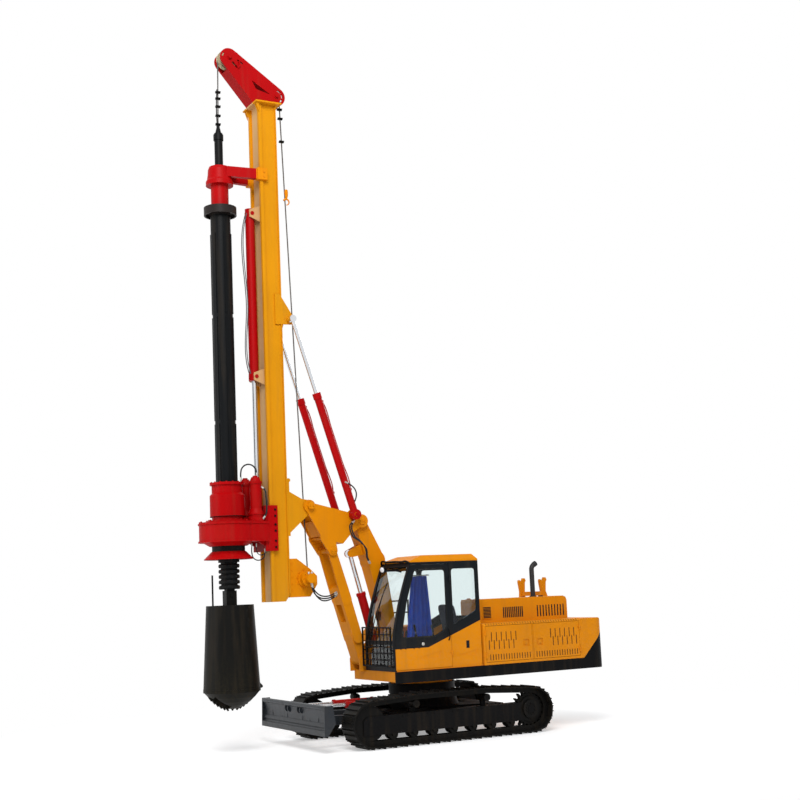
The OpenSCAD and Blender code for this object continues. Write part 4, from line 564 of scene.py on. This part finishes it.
def cloth(name, colour, thread, sheen):
    """Woven cloth: the shared weave in its own colour and thread count, under a soft sheen."""
    material = bpy.data.materials.new(name)
    tree = fresh_tree(material)
    woven = put(tree, "ShaderNodeGroup", node_tree=cloth_weave)
    tree.links.new(put(tree, "ShaderNodeTexCoord").outputs["Object"], woven.inputs["Place"])
    woven.inputs["Thread"].default_value = thread
    woven.inputs["Colour"].default_value = colour + (1,)
    nap = put(tree, "ShaderNodeBump", {"Strength": 0.3, "Distance": 0.001, "Height": woven.outputs["Height"]})
    shader = put(tree, "ShaderNodeBsdfPrincipled", {
        "Base Color": woven.outputs["Colour"], "Roughness": 0.85, "Sheen Weight": sheen,
        "Specular IOR Level": 0.2, "Normal": nap.outputs[0]})
    put(tree, "ShaderNodeOutputMaterial", {0: shader.outputs[0]})
    return material


seat_cloth = cloth("seat_cloth", (0.016, 0.02, 0.035), 260.0, 0.15)
moulded = finish("moulded_plastic", (0.012, 0.0125, 0.014), gloss=0.6, dust=0.0, chips=0.0, specular=0.12)
seat_low, seat_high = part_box("cab_seat")
SEAT_Y = (seat_low.y + seat_high.y) / 2
FLOOR_Z = seat_low.z


def squared(wave, power):
    """A sine or cosine raised to a power below 1 with its sign kept, which squares a round outline."""
    return np.sign(wave) * np.abs(wave) ** power


def cushion(centre, half, crown, channels, turned=0.0):
    """A foam cushion: a rounded block whose sides pull in between the corners and whose face swells
    by crown x (1 - u2)(1 - v2), less a groove at each sewn channel. turned tips it about y."""
    u_ring, v_turn = np.linspace(-np.pi / 2 + 0.04, np.pi / 2 - 0.04, 26), np.arange(64) * 2 * np.pi / 64
    lat, lon = np.meshgrid(u_ring, v_turn, indexing="ij")
    x = squared(np.cos(lat), 0.28) * squared(np.cos(lon), 0.3)
    y = squared(np.cos(lat), 0.28) * squared(np.sin(lon), 0.3)
    z = squared(np.sin(lat), 0.55)
    pull = 1 - 0.045 * (1 - np.minimum(np.abs(x), np.abs(y)) ** 2) * np.cos(lat)
    groove = sum(np.exp(-((y - c) / 0.035) ** 2) for c in channels) * 0.16 * (z > 0)
    swell = crown * (1 - x**2).clip(0) * (1 - y**2).clip(0) * (z > 0)
    shape = np.stack([x * pull * half[0], y * pull * half[1], (z - groove + swell) * half[2]], -1)
    c, s = np.cos(turned), np.sin(turned)
    tipped = shape @ np.array([[c, 0, s], [0, 1, 0], [-s, 0, c]]).T
    return tipped + np.asarray(centre)


seat_shape = cushion((0.075, SEAT_Y, FLOOR_Z + 0.355), (0.25, 0.235, 0.06), 0.25, (-0.45, 0.45))
seat_pad = piece("seat_cushion", [seat_shape], seat_cloth, "upper", 1.2)
back_shape = cushion((-0.175, SEAT_Y, FLOOR_Z + 0.71), (0.28, 0.225, 0.05), 0.3, (-0.4, 0.4), -1.36)
back_pad = piece("seat_backrest", [back_shape], seat_cloth, "upper", 1.2)
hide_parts("cab_seat")
pedestal = [slab([-0.14, SEAT_Y - 0.19, FLOOR_Z + 0.001], [0.30, SEAT_Y + 0.19, FLOOR_Z + 0.06], 0.02),
            slab([-0.10, SEAT_Y - 0.16, FLOOR_Z + 0.06], [0.26, SEAT_Y + 0.16, FLOOR_Z + 0.25], 0.03),
            slab([-0.17, SEAT_Y - 0.22, FLOOR_Z + 0.25], [0.30, SEAT_Y + 0.22, FLOOR_Z + 0.30], 0.02)]
consoles = [slab([-0.07, y, FLOOR_Z + 0.25], [0.35, y + 0.075, FLOOR_Z + 0.47], 0.025)
            for y in (seat_low.y + 0.002, seat_high.y - 0.077)]
posts = [slab([0.0, y + 0.012, FLOOR_Z + 0.001], [0.16, y + 0.063, FLOOR_Z + 0.26], 0.02)
         for y in (seat_low.y + 0.002, seat_high.y - 0.077)]
piece("seat_pedestal_and_consoles", pedestal + consoles + posts, moulded, "upper")

# ---- Cab lining ----
# Moulded black panels on the lower right wall, the back wall and the door, and a flat rubber mat on
# the floor.
rear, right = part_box("cab_base")[0].xy
panels = [slab([rear + 0.03, right + 0.016, FLOOR_Z + 0.01], [1.05, right + 0.034, 1.50], 0.004),
          slab([rear + 0.016, right + 0.04, FLOOR_Z + 0.01], [rear + 0.034, 1.17, 1.88], 0.004),
          slab([-0.42, right + 0.05, FLOOR_Z - 0.001], [1.04, 1.16, FLOOR_Z + 0.006], 0.002)]
piece("cab_lining_and_mat", panels, moulded, "upper")
door_trim = slab([0.12, 1.183, 1.22], [1.06, 1.189, 1.49], 0.002)
piece("door_lining", [door_trim], moulded, "cab_door")

# ---- Controls ----
# Chromed steel levers with moulded grips: a joystick on each console, and two travel levers with
# pedals in front of the seat. A monitor stands on a post at the front window's right.
chrome = finish("hard_chrome", (0.72, 0.74, 0.77), gloss=0.15, dust=0.1, chips=0.0, metal=1.0, bump=0.03)
rods, grips = [], []
for y in (seat_low.y + 0.04, seat_high.y - 0.04):
    foot = np.array([0.29, y, FLOOR_Z + 0.46])
    rods.append(along(foot + np.linspace(0, 1, 5)[:, None] * np.array([0.02, 0, 0.10]), 0.008))
    grips.append(along([foot + [0.012, 0, 0], foot + [0.016, 0, 0.03], foot + [0.02, 0, 0.055]],
                       [0.034, 0.024, 0.012], 20))
    heights = np.array([0.09, 0.10, 0.13, 0.17, 0.20, 0.208])
    grips.append(along(foot + np.stack([0.2 * heights, 0 * heights, heights], -1),
                       [0.012, 0.017, 0.02, 0.021, 0.019, 0.008], 20))
for y in (SEAT_Y - 0.059, SEAT_Y + 0.061):
    foot = np.array([0.72, y, FLOOR_Z + 0.001])
    bend = through([foot, foot + [0, 0, 0.18], foot + [-0.03, 0, 0.4], foot + [-0.05, 0, 0.56]], 20)
    rods.append(along(bend, 0.009))
    grips.append(along(bend[-5:] + [0, 0, 0.03], [0.014, 0.018, 0.017, 0.018, 0.01], 16))
    grips.append(slab(foot + [-0.05, -0.045, 0.02], foot + [0.06, 0.045, 0.045], 0.012))
piece("lever_rods", rods, chrome, "upper")
piece("lever_grips_and_pedals", grips, moulded, "upper")
monitor = [slab([0.93, 0.285, 1.95], [0.965, 0.42, 2.10], 0.012),
           along([(0.95, 0.35, FLOOR_Z + 0.3), (0.95, 0.35, 1.7), (0.95, 0.35, 1.96)], 0.014)]
piece("monitor", monitor, moulded, "upper")

# ---- Cab curtain ----
# A blue cotton sun curtain on the right window, gathered on a rail under the roof and spreading
# towards its hem.
blue_cotton = cloth("blue_cotton", (0.018, 0.09, 0.62), 420.0, 0.15)
RAIL_Z, HEM_Z, CURTAIN_Y = 2.65, 1.36, 0.315
down, along_rail = np.meshgrid(np.linspace(0, 1, 48), np.linspace(0, 1, 150), indexing="ij")
width_at = 0.27 + 0.27 * down**0.8
left_at = -0.09 * down
fold = (0.036 - 0.010 * down) * np.sin(2 * np.pi * 5 * along_rail + 0.5 * np.sin(3 * down))
fold += 0.010 * np.sin(2 * np.pi * 2.3 * along_rail + 2.0 * down)
curtain_points = np.stack([left_at + width_at * along_rail, CURTAIN_Y + fold,
                           RAIL_Z - (RAIL_Z - HEM_Z) * down + 0.01 * np.sin(9 * along_rail) * down], -1)
index = np.arange(down.size).reshape(down.shape)
cells = np.stack([index[:-1, :-1], index[1:, :-1], index[1:, 1:], index[:-1, 1:]], -1).reshape(-1, 4)
curtain_mesh = bpy.data.meshes.new("curtain")
curtain_mesh.from_pydata(curtain_points.reshape(-1, 3).tolist(), [], cells.tolist())
curtain_mesh.materials.append(blue_cotton)
curtain_mesh.shade_smooth()
curtain = bpy.data.objects.new("curtain", curtain_mesh)
bpy.context.scene.collection.objects.link(curtain)
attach(curtain, "upper")
rod = along([(x, CURTAIN_Y, RAIL_Z + 0.012) for x in (-0.06, 0.14, 0.34)], 0.009)
rail = piece("curtain_rail", [rod], zinc, "upper")
stays = [along([(x, CURTAIN_Y, RAIL_Z + 0.012), (x, 0.29, RAIL_Z + 0.02), (x, 0.262, RAIL_Z + 0.02)], 0.006)
         for x in (-0.04, 0.32)]
piece("curtain_rail_stays", stays, zinc, "upper")

# ---- Boom ----
# Two welded box arms and a plated head make a parallel linkage. Each joint turns on a hardened pin
# kept by a round cap plate with two bolts, and one cylinder under the rear arm lifts it.
crimson = finish("crimson_enamel", (0.40, 0.0008, 0.002), gloss=0.42, dust=0.1, dust_top=3.0, chips=0.12,
                 specular=0.09)
wear_it(amber, "rear_arm", "front_arm", "boom_head")
wear_it(crimson, "luff_barrel", "blade_barrels")
wear_it(chrome, "luff_rod", "blade_rods")


def pin_caps(name, x, z, reach, radius, material, body):
    """A cap plate and two bolts on both ends of a pin that runs along y, reach from the middle."""
    caps = []
    for side in (1, -1):
        face = np.array([x, side * reach, z])
        out_y = np.array([0, side, 0])
        caps.append(along([face + out_y * t for t in (-0.006, 0.006, 0.012, 0.0125)],
                          np.array([1, 1, 0.93, 0.85]) * radius, 28))
        spots = [face + out_y * 0.012 + np.array([s * radius * 0.5, 0, 0]) for s in (1, -1)]
        caps += bolt_heads(spots, out_y, 0.022)
    return piece(name, caps, material, body)


ARM_TOP_REAR, ARM_TOP_FRONT, MAST_PIN = (1.1297, 3.5997), (1.6797, 3.1197), (2.0747, 3.8557)
CYLINDER_FOOT, CYLINDER_EYE, CYLINDER_Y = (1.2997, 3.6997), (2.3197, 6.9397), 0.33
head_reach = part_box("boom_head")[1].y
pin_caps("rear_arm_pin_caps", *ARM_TOP_REAR, 0.241, 0.062, amber, "boom_head")
pin_caps("front_arm_pin_caps", *ARM_TOP_FRONT, 0.241, 0.055, amber, "boom_head")
pin_caps("mast_pin_caps", *MAST_PIN, 0.303, 0.058, amber, "mast")
pin_caps("mast_cylinder_foot_caps", *CYLINDER_FOOT, head_reach + 0.001, 0.036, crimson, "boom_head")

# ---- Mast, cylinders and winch ----
# A tall welded box with flat guide rails down its front, paler where the drive's shoes slide: partly
# wear, partly a painted highlight. Two red cylinders raise it, one long cylinder crowds the drive, and
# a winch hangs at its foot.
MAST_FRONT = 2.74


def coordinate(tree, place, axis):
    """One of the three object coordinates."""
    return put(tree, "ShaderNodeSeparateXYZ", {0: place}).outputs[axis]


def track_wear_and_highlight(tree, place):
    """1 on the mast's front face between the rails' outer edges, paler from wear and a painted highlight."""
    in_front = math(tree, "GREATER_THAN", coordinate(tree, place, 0), MAST_FRONT - 0.003)
    middle = math(tree, "LESS_THAN", math(tree, "ABSOLUTE", coordinate(tree, place, 1)), 0.14)
    return math(tree, "MULTIPLY", math(tree, "MULTIPLY", in_front, middle), 0.7)


# The pale face between the rails is partly wear and partly a painted highlight.
mast_paint = finish("mast_enamel", (0.66, 0.265, 0.003), gloss=0.5, dust=0.25, dust_top=3.0, chips=0.3,
                    specular=0.08, zones=[(track_wear_and_highlight, (0.58, 0.40, 0.22))])
wear_it(mast_paint, "mast")
wear_it(amber, "winch")
wear_it(crimson, "mast_barrels", "crowd_barrel")
wear_it(chrome, "mast_rods", "crowd_rod")
crowd_low, crowd_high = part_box("crowd_barrel")
CROWD_X = (crowd_low.x + crowd_high.x) / 2
PIPE_LINE = ((0.062, 6.02), (0.085, 6.10), (0.088, 7.2), (0.085, 8.68), (0.062, 8.76))
oil_pipes = [along(through([(CROWD_X + off, y, z) for off, z in PIPE_LINE], 40), 0.008, 10)
             for y in (-0.032, 0.032)]
piece("crowd_oil_pipes", oil_pipes, plain_grey, "mast")
WINCH = np.array([2.17, 0.0, 2.68])
CHEEK_Y = 0.172
cover_bolts = []
for side in (1, -1):
    face = WINCH + [0, side * CHEEK_Y, 0]
    cover_bolts += bolt_heads(circle(face, 1, 0.152, 10, 0.2), (0, side, 0), 0.02)
cover_bolts += bolt_heads(circle(WINCH + [0, 0.325, 0], 1, 0.1, 8), (0, 1, 0), 0.018)
piece("winch_bolts", cover_bolts, amber, "mast")
edge_bolts = []
for side in (1, -1):
    spots = [[2.40, side * CHEEK_Y, z] for z in np.linspace(2.50, 2.93, 5)]
    edge_bolts += bolt_heads(spots, (0, side, 0), 0.02)
piece("winch_plate_bolts", edge_bolts, amber, "mast")
ports = [along([WINCH + [dx, 0.385, 0.07 + t] for t in (0.0, 0.02, 0.035)], [0.02, 0.02, 0.015], 12)
         for dx in (-0.025, 0.03)]
piece("winch_motor_ports", ports, zinc, "mast")
PIPE_OUT = ((0.42, 1.0), (0.46, 1.22), (0.9, 1.25), (1.5, 1.25), (1.9, 1.22), (1.95, 1.0))
for side, name in ((1, "near"), (-1, "far")):
    low = np.array([CYLINDER_FOOT[0], side * CYLINDER_Y, CYLINDER_FOOT[1]])
    high = np.array([CYLINDER_EYE[0], side * CYLINDER_Y, CYLINDER_EYE[1]])
    run = (high - low) / np.linalg.norm(high - low)
    off = np.cross(run, [0, 1, 0]) * 0.058
    pipe = along(through([low + run * t + off * out for t, out in PIPE_OUT], 36), 0.009, 10)
    blocks = [slab(low + run * 0.42 + off - 0.02, low + run * 0.42 + off + 0.02, 0.006),
              slab(low + run * 1.95 + off - 0.018, low + run * 1.95 + off + 0.018, 0.006)]
    piece("mast_cylinder_pipe_" + name, [pipe] + blocks, crimson, "mast_barrels")

# ---- Mast head and ropes ----
# A red plated head carries two cast sheaves in cream enamel. A steel wire rope runs from the winch
# up behind the mast, over both sheaves and down to the swivel on the kelly, with grips at its end.
cream = finish("sheave_cream", (0.5, 0.44, 0.27), gloss=0.5, dust=0.1, chips=0.6, metal=0.1, specular=0.2)
wear_it(crimson, "mast_head")
wear_it(cream, "front_sheave", "rear_sheave")
strand, given, out = group_of("strand_lay", [("Place", PLACE, None), ("Pitch", VALUE, 40.0)],
                              [("Height", VALUE)])
twist = put(strand, "ShaderNodeTexWave", {"Vector": given["Place"], "Scale": given["Pitch"]},
            bands_direction="DIAGONAL")
strand.links.new(twist.outputs["Fac"], out["Height"])
wire = bpy.data.materials.new("steel_wire_rope")
tree = fresh_tree(wire)
laid = put(tree, "ShaderNodeGroup", node_tree=strand)
tree.links.new(put(tree, "ShaderNodeTexCoord").outputs["Object"], laid.inputs["Place"])
greased = mix(tree, laid.outputs["Height"], (0.02, 0.018, 0.015, 1), (0.16, 0.15, 0.14, 1))
twisted = put(tree, "ShaderNodeBump", {"Strength": 0.6, "Distance": 0.003, "Height": laid.outputs["Height"]})
shader = put(tree, "ShaderNodeBsdfPrincipled", {"Base Color": greased, "Roughness": 0.45, "Metallic": 0.6,
                                                "Normal": twisted.outputs[0]})
put(tree, "ShaderNodeOutputMaterial", {0: shader.outputs[0]})


def sheave_of(name):
    """Centre and outer radius of a sheave, from its node's box."""
    low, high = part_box(name)
    return np.array([(low.x + high.x) / 2, 0.0, (low.z + high.z) / 2]), (high.z - low.z) / 2


ROPE_R, LAY_DEPTH, DRILL_X = 0.011, 0.0125, 3.41
front_hub, front_r = sheave_of("front_sheave")
rear_hub, rear_r = sheave_of("rear_sheave")
front_lay, rear_lay = front_r - LAY_DEPTH, rear_r - LAY_DEPTH
slope = np.arctan2(front_hub[2] - rear_hub[2], front_hub[0] - rear_hub[0])
lean = slope - np.arcsin((front_lay - rear_lay) / np.linalg.norm(front_hub - rear_hub))
over_front = np.linspace(0.0, np.pi / 2 + lean, 18)
over_rear = np.linspace(np.pi / 2 + lean, np.pi, 14)
arc_front = front_hub + front_lay * np.stack([np.cos(over_front), 0 * over_front, np.sin(over_front)], -1)
arc_rear = rear_hub + rear_lay * np.stack([np.cos(over_rear), 0 * over_rear, np.sin(over_rear)], -1)
DRUM_R = 0.12
drum_side = WINCH + [-DRUM_R - ROPE_R + 0.003, 0, 0]
descent = np.linspace(arc_rear[-1], drum_side, 60)[1:]
HOOK = arc_rear[-1] + (drum_side - arc_rear[-1]) * 0.2
piece("hoist_rope", [along(np.concatenate([arc_front, arc_rear, descent]), ROPE_R, 10)], wire, "mast", 1.2)
lay_turn = np.linspace(0, 2 * np.pi * 9, 9 * 28)
drum_lay = WINCH + np.stack([(DRUM_R + ROPE_R) * np.cos(lay_turn), np.linspace(-0.11, 0.11, lay_turn.size),
                             (DRUM_R + ROPE_R) * np.sin(lay_turn)], -1)
piece("rope_on_drum", [along(drum_lay, ROPE_R, 8)], wire, "mast", 1.2)
kelly_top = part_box("kelly")[1]
hang = np.linspace(front_hub + [front_lay, 0, 0], [DRILL_X, 0, kelly_top.z - 0.01], 40)
hanging_rope = piece("hoist_rope_end", [along(hang, ROPE_R, 10)], wire, "mast", 1.2)


def rope_grip(spot):
    """A wire-rope grip: a forged saddle across the rope, and the two legs of its bow with nuts."""
    saddle = slab(spot + [-0.042, -0.022, -0.02], spot + [0.042, 0.022, 0.02], 0.008)
    legs = [along([spot + [dx, y, 0] for y in (-0.045, 0.0, 0.048)], 0.008, 8) for dx in (-0.026, 0.026)]
    return [saddle] + legs


def bridge(part, first, second, start, end):
    """Takes a piece off the body it rode on: it loses its parent and body mark, and keeps its place in its
    mesh.
    """
    part.parent = None
    del part["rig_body"]
    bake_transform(part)


GRIP_Z = np.array([10.80, 10.69, 10.55, 10.39, 10.24])
t = (hang[0, 2] - GRIP_Z) / (hang[0, 2] - hang[-1, 2])
grip_spots = hang[0] + t[:, None] * (hang[-1] - hang[0])
high_grips = sum((rope_grip(spot) for spot in grip_spots), [])
turned_back = through([grip_spots[0] + [0.014, 0, 0.05], grip_spots[1] + [0.024, 0, 0],
                       grip_spots[3] + [0.024, 0, 0], grip_spots[4] + [0.012, 0, -0.05]], 30)
dead_end = along(turned_back, ROPE_R * 0.9, 8)
grips = piece("rope_grips", high_grips + [dead_end], black, "mast")
for part in (hanging_rope, grips):
    bridge(part, "mast", "kelly_guide", (3.4, 0, 11.3), (DRILL_X, 0, 10.9))
rear_spots = [arc_rear[-1] + (HOOK - arc_rear[-1]) * share for share in (0.1, 0.2, 0.45)]
piece("rear_rope_grips", sum((rope_grip(spot) for spot in rear_spots), []), black, "mast")
turn = np.linspace(-0.5 * np.pi, 0.85 * np.pi, 24)
bow = HOOK + [-0.028, 0, -0.16] + 0.05 * np.stack([-np.cos(turn), 0 * turn, np.sin(turn)], -1)[::-1]
hook_body = along([HOOK + [-0.028, 0, z] for z in (0.06, 0.05, 0.0, -0.06, -0.10)],
                  [0.012, 0.03, 0.036, 0.03, 0.018], 20)
hook_bow = along(np.concatenate([[HOOK + [-0.028, 0, -0.09]], bow]), np.linspace(0.018, 0.008, 25), 12)
piece("auxiliary_hook", [hook_body, hook_bow], amber, "mast")
pin_nuts = []
for pin, width in ((front_hub, 0.05), (rear_hub, 0.045)):
    for side in (1, -1):
        pin_nuts += bolt_heads([pin + [0, side * 0.16, 0]], (0, side, 0), width)
piece("sheave_pin_nuts", pin_nuts, crimson, "mast")

# ---- Rotary drive ----
# A cast gear case in red enamel with a bolted lid, two planetary motors and a bell below that
# guards the black seal sleeve. The crowd cylinder's rod pushes it down the mast's rails.


def seal_sleeve(tree, place):
    """1 on the sleeve between the case and the bell: near the drill's axis and under the case."""
    off_x = math(tree, "SUBTRACT", coordinate(tree, place, 0), DRILL_X)
    off_y = coordinate(tree, place, 1)
    square = math(tree, "ADD", math(tree, "MULTIPLY", off_x, off_x), math(tree, "MULTIPLY", off_y, off_y))
    near = math(tree, "LESS_THAN", square, 0.2655**2)
    z = coordinate(tree, place, 2)
    band = math(tree, "MULTIPLY", math(tree, "GREATER_THAN", z, 3.05), math(tree, "LESS_THAN", z, 3.242))
    return math(tree, "MULTIPLY", near, band)


drive_paint = finish("drive_enamel", (0.40, 0.0008, 0.002), gloss=0.42, dust=0.12, dust_top=3.6, chips=0.3,
                     specular=0.06, zones=[(seal_sleeve, (0.006, 0.006, 0.006))])
wear_it(drive_paint, "gear_case", "drive_motors")
case_bolts = bolt_heads(circle([DRILL_X, 0, 3.65], 2, 0.302, 20, 0.1), (0, 0, 1), 0.026)
case_bolts += bolt_heads(circle([DRILL_X, 0, 3.626], 2, 0.445, 16, np.pi * 0.62)[:13], (0, 0, 1), 0.024)
case_bolts += bolt_heads(circle([DRILL_X, 0, 4.252], 2, 0.262, 16), (0, 0, 1), 0.022)
piece("gear_case_bolts", case_bolts, drive_paint, "rotary_drive")
motor_bolts = []
for y in (0.215, -0.215):
    motor_bolts += bolt_heads(circle([3.01, y, 3.682], 2, 0.12, 10), (0, 0, 1), 0.02)
    motor_bolts += bolt_heads(circle([3.01, y, 4.246], 2, 0.1, 8), (0, 0, 1), 0.018)
piece("motor_bolts", motor_bolts, drive_paint, "rotary_drive")
shoe_bolts = []
for side in (1, -1):
    spots = [[2.705, side * 0.276, z] for z in (3.20, 3.30, 3.46, 3.56, 3.70, 3.80)]
    shoe_bolts += bolt_heads(spots, (0, side, 0), 0.026)
piece("slide_plate_bolts", shoe_bolts, black, "rotary_drive")
seam = circle([DRILL_X, 0, 3.71], 2, 0.2805, 48)
piece("housing_seam_ring", [along(np.concatenate([seam, seam[:2]]), 0.005, 8)], black, "rotary_drive")

# ---- Kelly, guide and bucket ----
# Rolled steel tubes with welded drive keys, greased black where they slide. A red guide slides on
# the mast's rails in amber shoes, and a cylindrical bucket with a hinged toothed bottom hangs below.


def guide_shoes(tree, place):
    """1 on the shoes that clasp the mast's rails."""
    return math(tree, "LESS_THAN", coordinate(tree, place, 0), 2.845)


def kelly_ring(tree, place):
    """1 on the worn ring round the top of the outer tube."""
    z = coordinate(tree, place, 2)
    return math(tree, "MULTIPLY", math(tree, "GREATER_THAN", z, 8.66), math(tree, "LESS_THAN", z, 8.801))


guide_paint = finish("guide_enamel", (0.40, 0.0008, 0.002), gloss=0.42, dust=0.1, chips=0.25, specular=0.09,
                     zones=[(guide_shoes, (0.74, 0.25, 0.002))])
greased_steel = finish("greased_steel", (0.0035, 0.0042, 0.005), gloss=0.42, dust=0.1, dust_top=3.0,
                       chips=0.3, bump=0.4, bare=(0.05, 0.045, 0.04), specular=0.09,
                       zones=[(kelly_ring, (0.020, 0.016, 0.015))])
digging = finish("bucket_steel", (0.0038, 0.0036, 0.003), gloss=0.42, dust=0.4, dust_top=1.6, chips=0.4,
                 bump=0.5, bare=(0.08, 0.07, 0.05), soil=(0.05, 0.042, 0.018), specular=0.09)
wear_it(guide_paint, "kelly_guide")
wear_it(greased_steel, "kelly")
wear_it(digging, "bucket", "bucket_door")
guide_bolts = []
for side in (1, -1):
    guide_bolts += bolt_heads([[2.72, side * 0.268, z] for z in (9.34, 9.42)], (0, side, 0), 0.022)
piece("kelly_guide_bolts", guide_bolts, guide_paint, "kelly_guide")

# ---- Oil hoses ----
# Steel-braided rubber hoses with crimped zinc-plated ferrules. They hang free between the pipes on
# the boom and the cylinders, motors and winch.
hose_rubber = finish("hose_rubber", (0.008, 0.008, 0.009), gloss=0.5, dust=0.15, chips=0.0, specular=0.3)


def hose(name, points, width, body, to=None):
    """A free hose along a smooth line, with a ferrule round each end. When to, naming a second body and
    two points, is given, the hose and its ferrules are taken off their body."""
    line = through(points, 40)
    tube = piece(name, [along(line, width / 2, 12)], hose_rubber, body, 1.2)
    ends = []
    for tip, beyond in ((line[0], line[2]), (line[-1], line[-3])):
        run = (beyond - tip) / np.linalg.norm(beyond - tip)
        ends.append(along([tip + run * t for t in (-0.012, -0.01, 0.035, 0.05)],
                          np.array([0.4, 0.66, 0.66, 0.56]) * width, 12))
    ferrules = piece(name + "_ferrules", ends, zinc, body)
    if to:
        for part in (tube, ferrules):
            bridge(part, body, *to)


def loop(first, last, peak):
    """A hose that turns back: straight legs up or down from both ends into a half circle whose far
    point lies at height peak."""
    first, last = np.array(first), np.array(last)
    across = (last - first)[:2]
    radius = np.linalg.norm(across) / 2
    way = np.sign(peak - first[2])
    turn = np.linspace(0, np.pi, 7)[:, None]
    flat = (first + last)[:2] / 2 - across / 2 * np.cos(turn)
    bend = np.concatenate([flat, peak - way * radius + way * radius * np.sin(turn)], 1)
    return np.concatenate([[first], bend, [last]])


hose("motor_loop_hose", loop((3.26, 0.23, 4.27), (2.985, 0.22, 4.345), 4.53), 0.024, "rotary_drive")
hose("motor_feed_hose", [(2.93, 0.29, 4.16), (2.905, 0.335, 4.12), (2.885, 0.35, 3.98), (2.88, 0.35, 3.82),
                         (2.90, 0.33, 3.70), (2.93, 0.31, 3.66)], 0.028, "rotary_drive")
hose("case_drain_hose", loop((3.06, 0.12, 3.26), (2.88, 0.22, 3.17), 3.0), 0.018, "rotary_drive")
hose("case_feed_hose", loop((3.00, 0.17, 3.26), (2.865, 0.245, 3.25), 3.08), 0.0145, "rotary_drive")
BOOM_HOSES = ((0.0, 0.0), (0.05, 0.03))
for k, (dx, dy) in enumerate(BOOM_HOSES):
    hose(f"boom_hose_{k + 1}", [
        (1.29 + dx * 0.4, 0.262 + dy, 3.60), (1.34 + dx, 0.275 + dy, 3.53), (1.31 + dx, 0.285 + dy, 3.36),
        (1.17 + dx * 0.6, 0.28 + dy, 3.24), (1.09, 0.26 + dy, 3.12), (1.06, 0.22 + dy, 3.00),
        (1.00, 0.19 + dy, 2.90)], 0.022, "boom_head", to=("rear_arm", (1.25, 0.2, 3.4), (1.05, 0.2, 2.98)))
share = np.linspace(0, 1, 7)[:, None]
chord = (1 - share) * np.array([1.485, 0.385, 4.235]) + share * np.array([1.36, 0.345, 3.84])
sag = 0.13 * (1 - (2 * share - 1)**2) * np.array([-0.92, 0.28, 0.26])
hose("mast_cylinder_hose", chord + sag, 0.022, "mast_barrels")
WINCH_HOSES = ((0.0, 0.0), (0.035, 0.045), (-0.03, 0.09))
for k, (dy, dz) in enumerate(WINCH_HOSES):
    hose(f"winch_hose_{k + 1}", [
        (2.16, 0.40 - dy * 0.5, 2.60 - dz * 0.2), (2.115, 0.385 - dy * 0.8, 2.50 - dz * 0.7),
        (2.02, 0.345 - dy * 0.9, 2.42 - dz * 0.8), (1.90, 0.29 - dy * 0.3, 2.385 - dz * 0.8),
        (1.78, 0.25, 2.39 - dz * 0.7), (1.64, 0.213 + max(dy, 0) * 0.66, 2.44 - dz * 0.6)], 0.022, "mast")
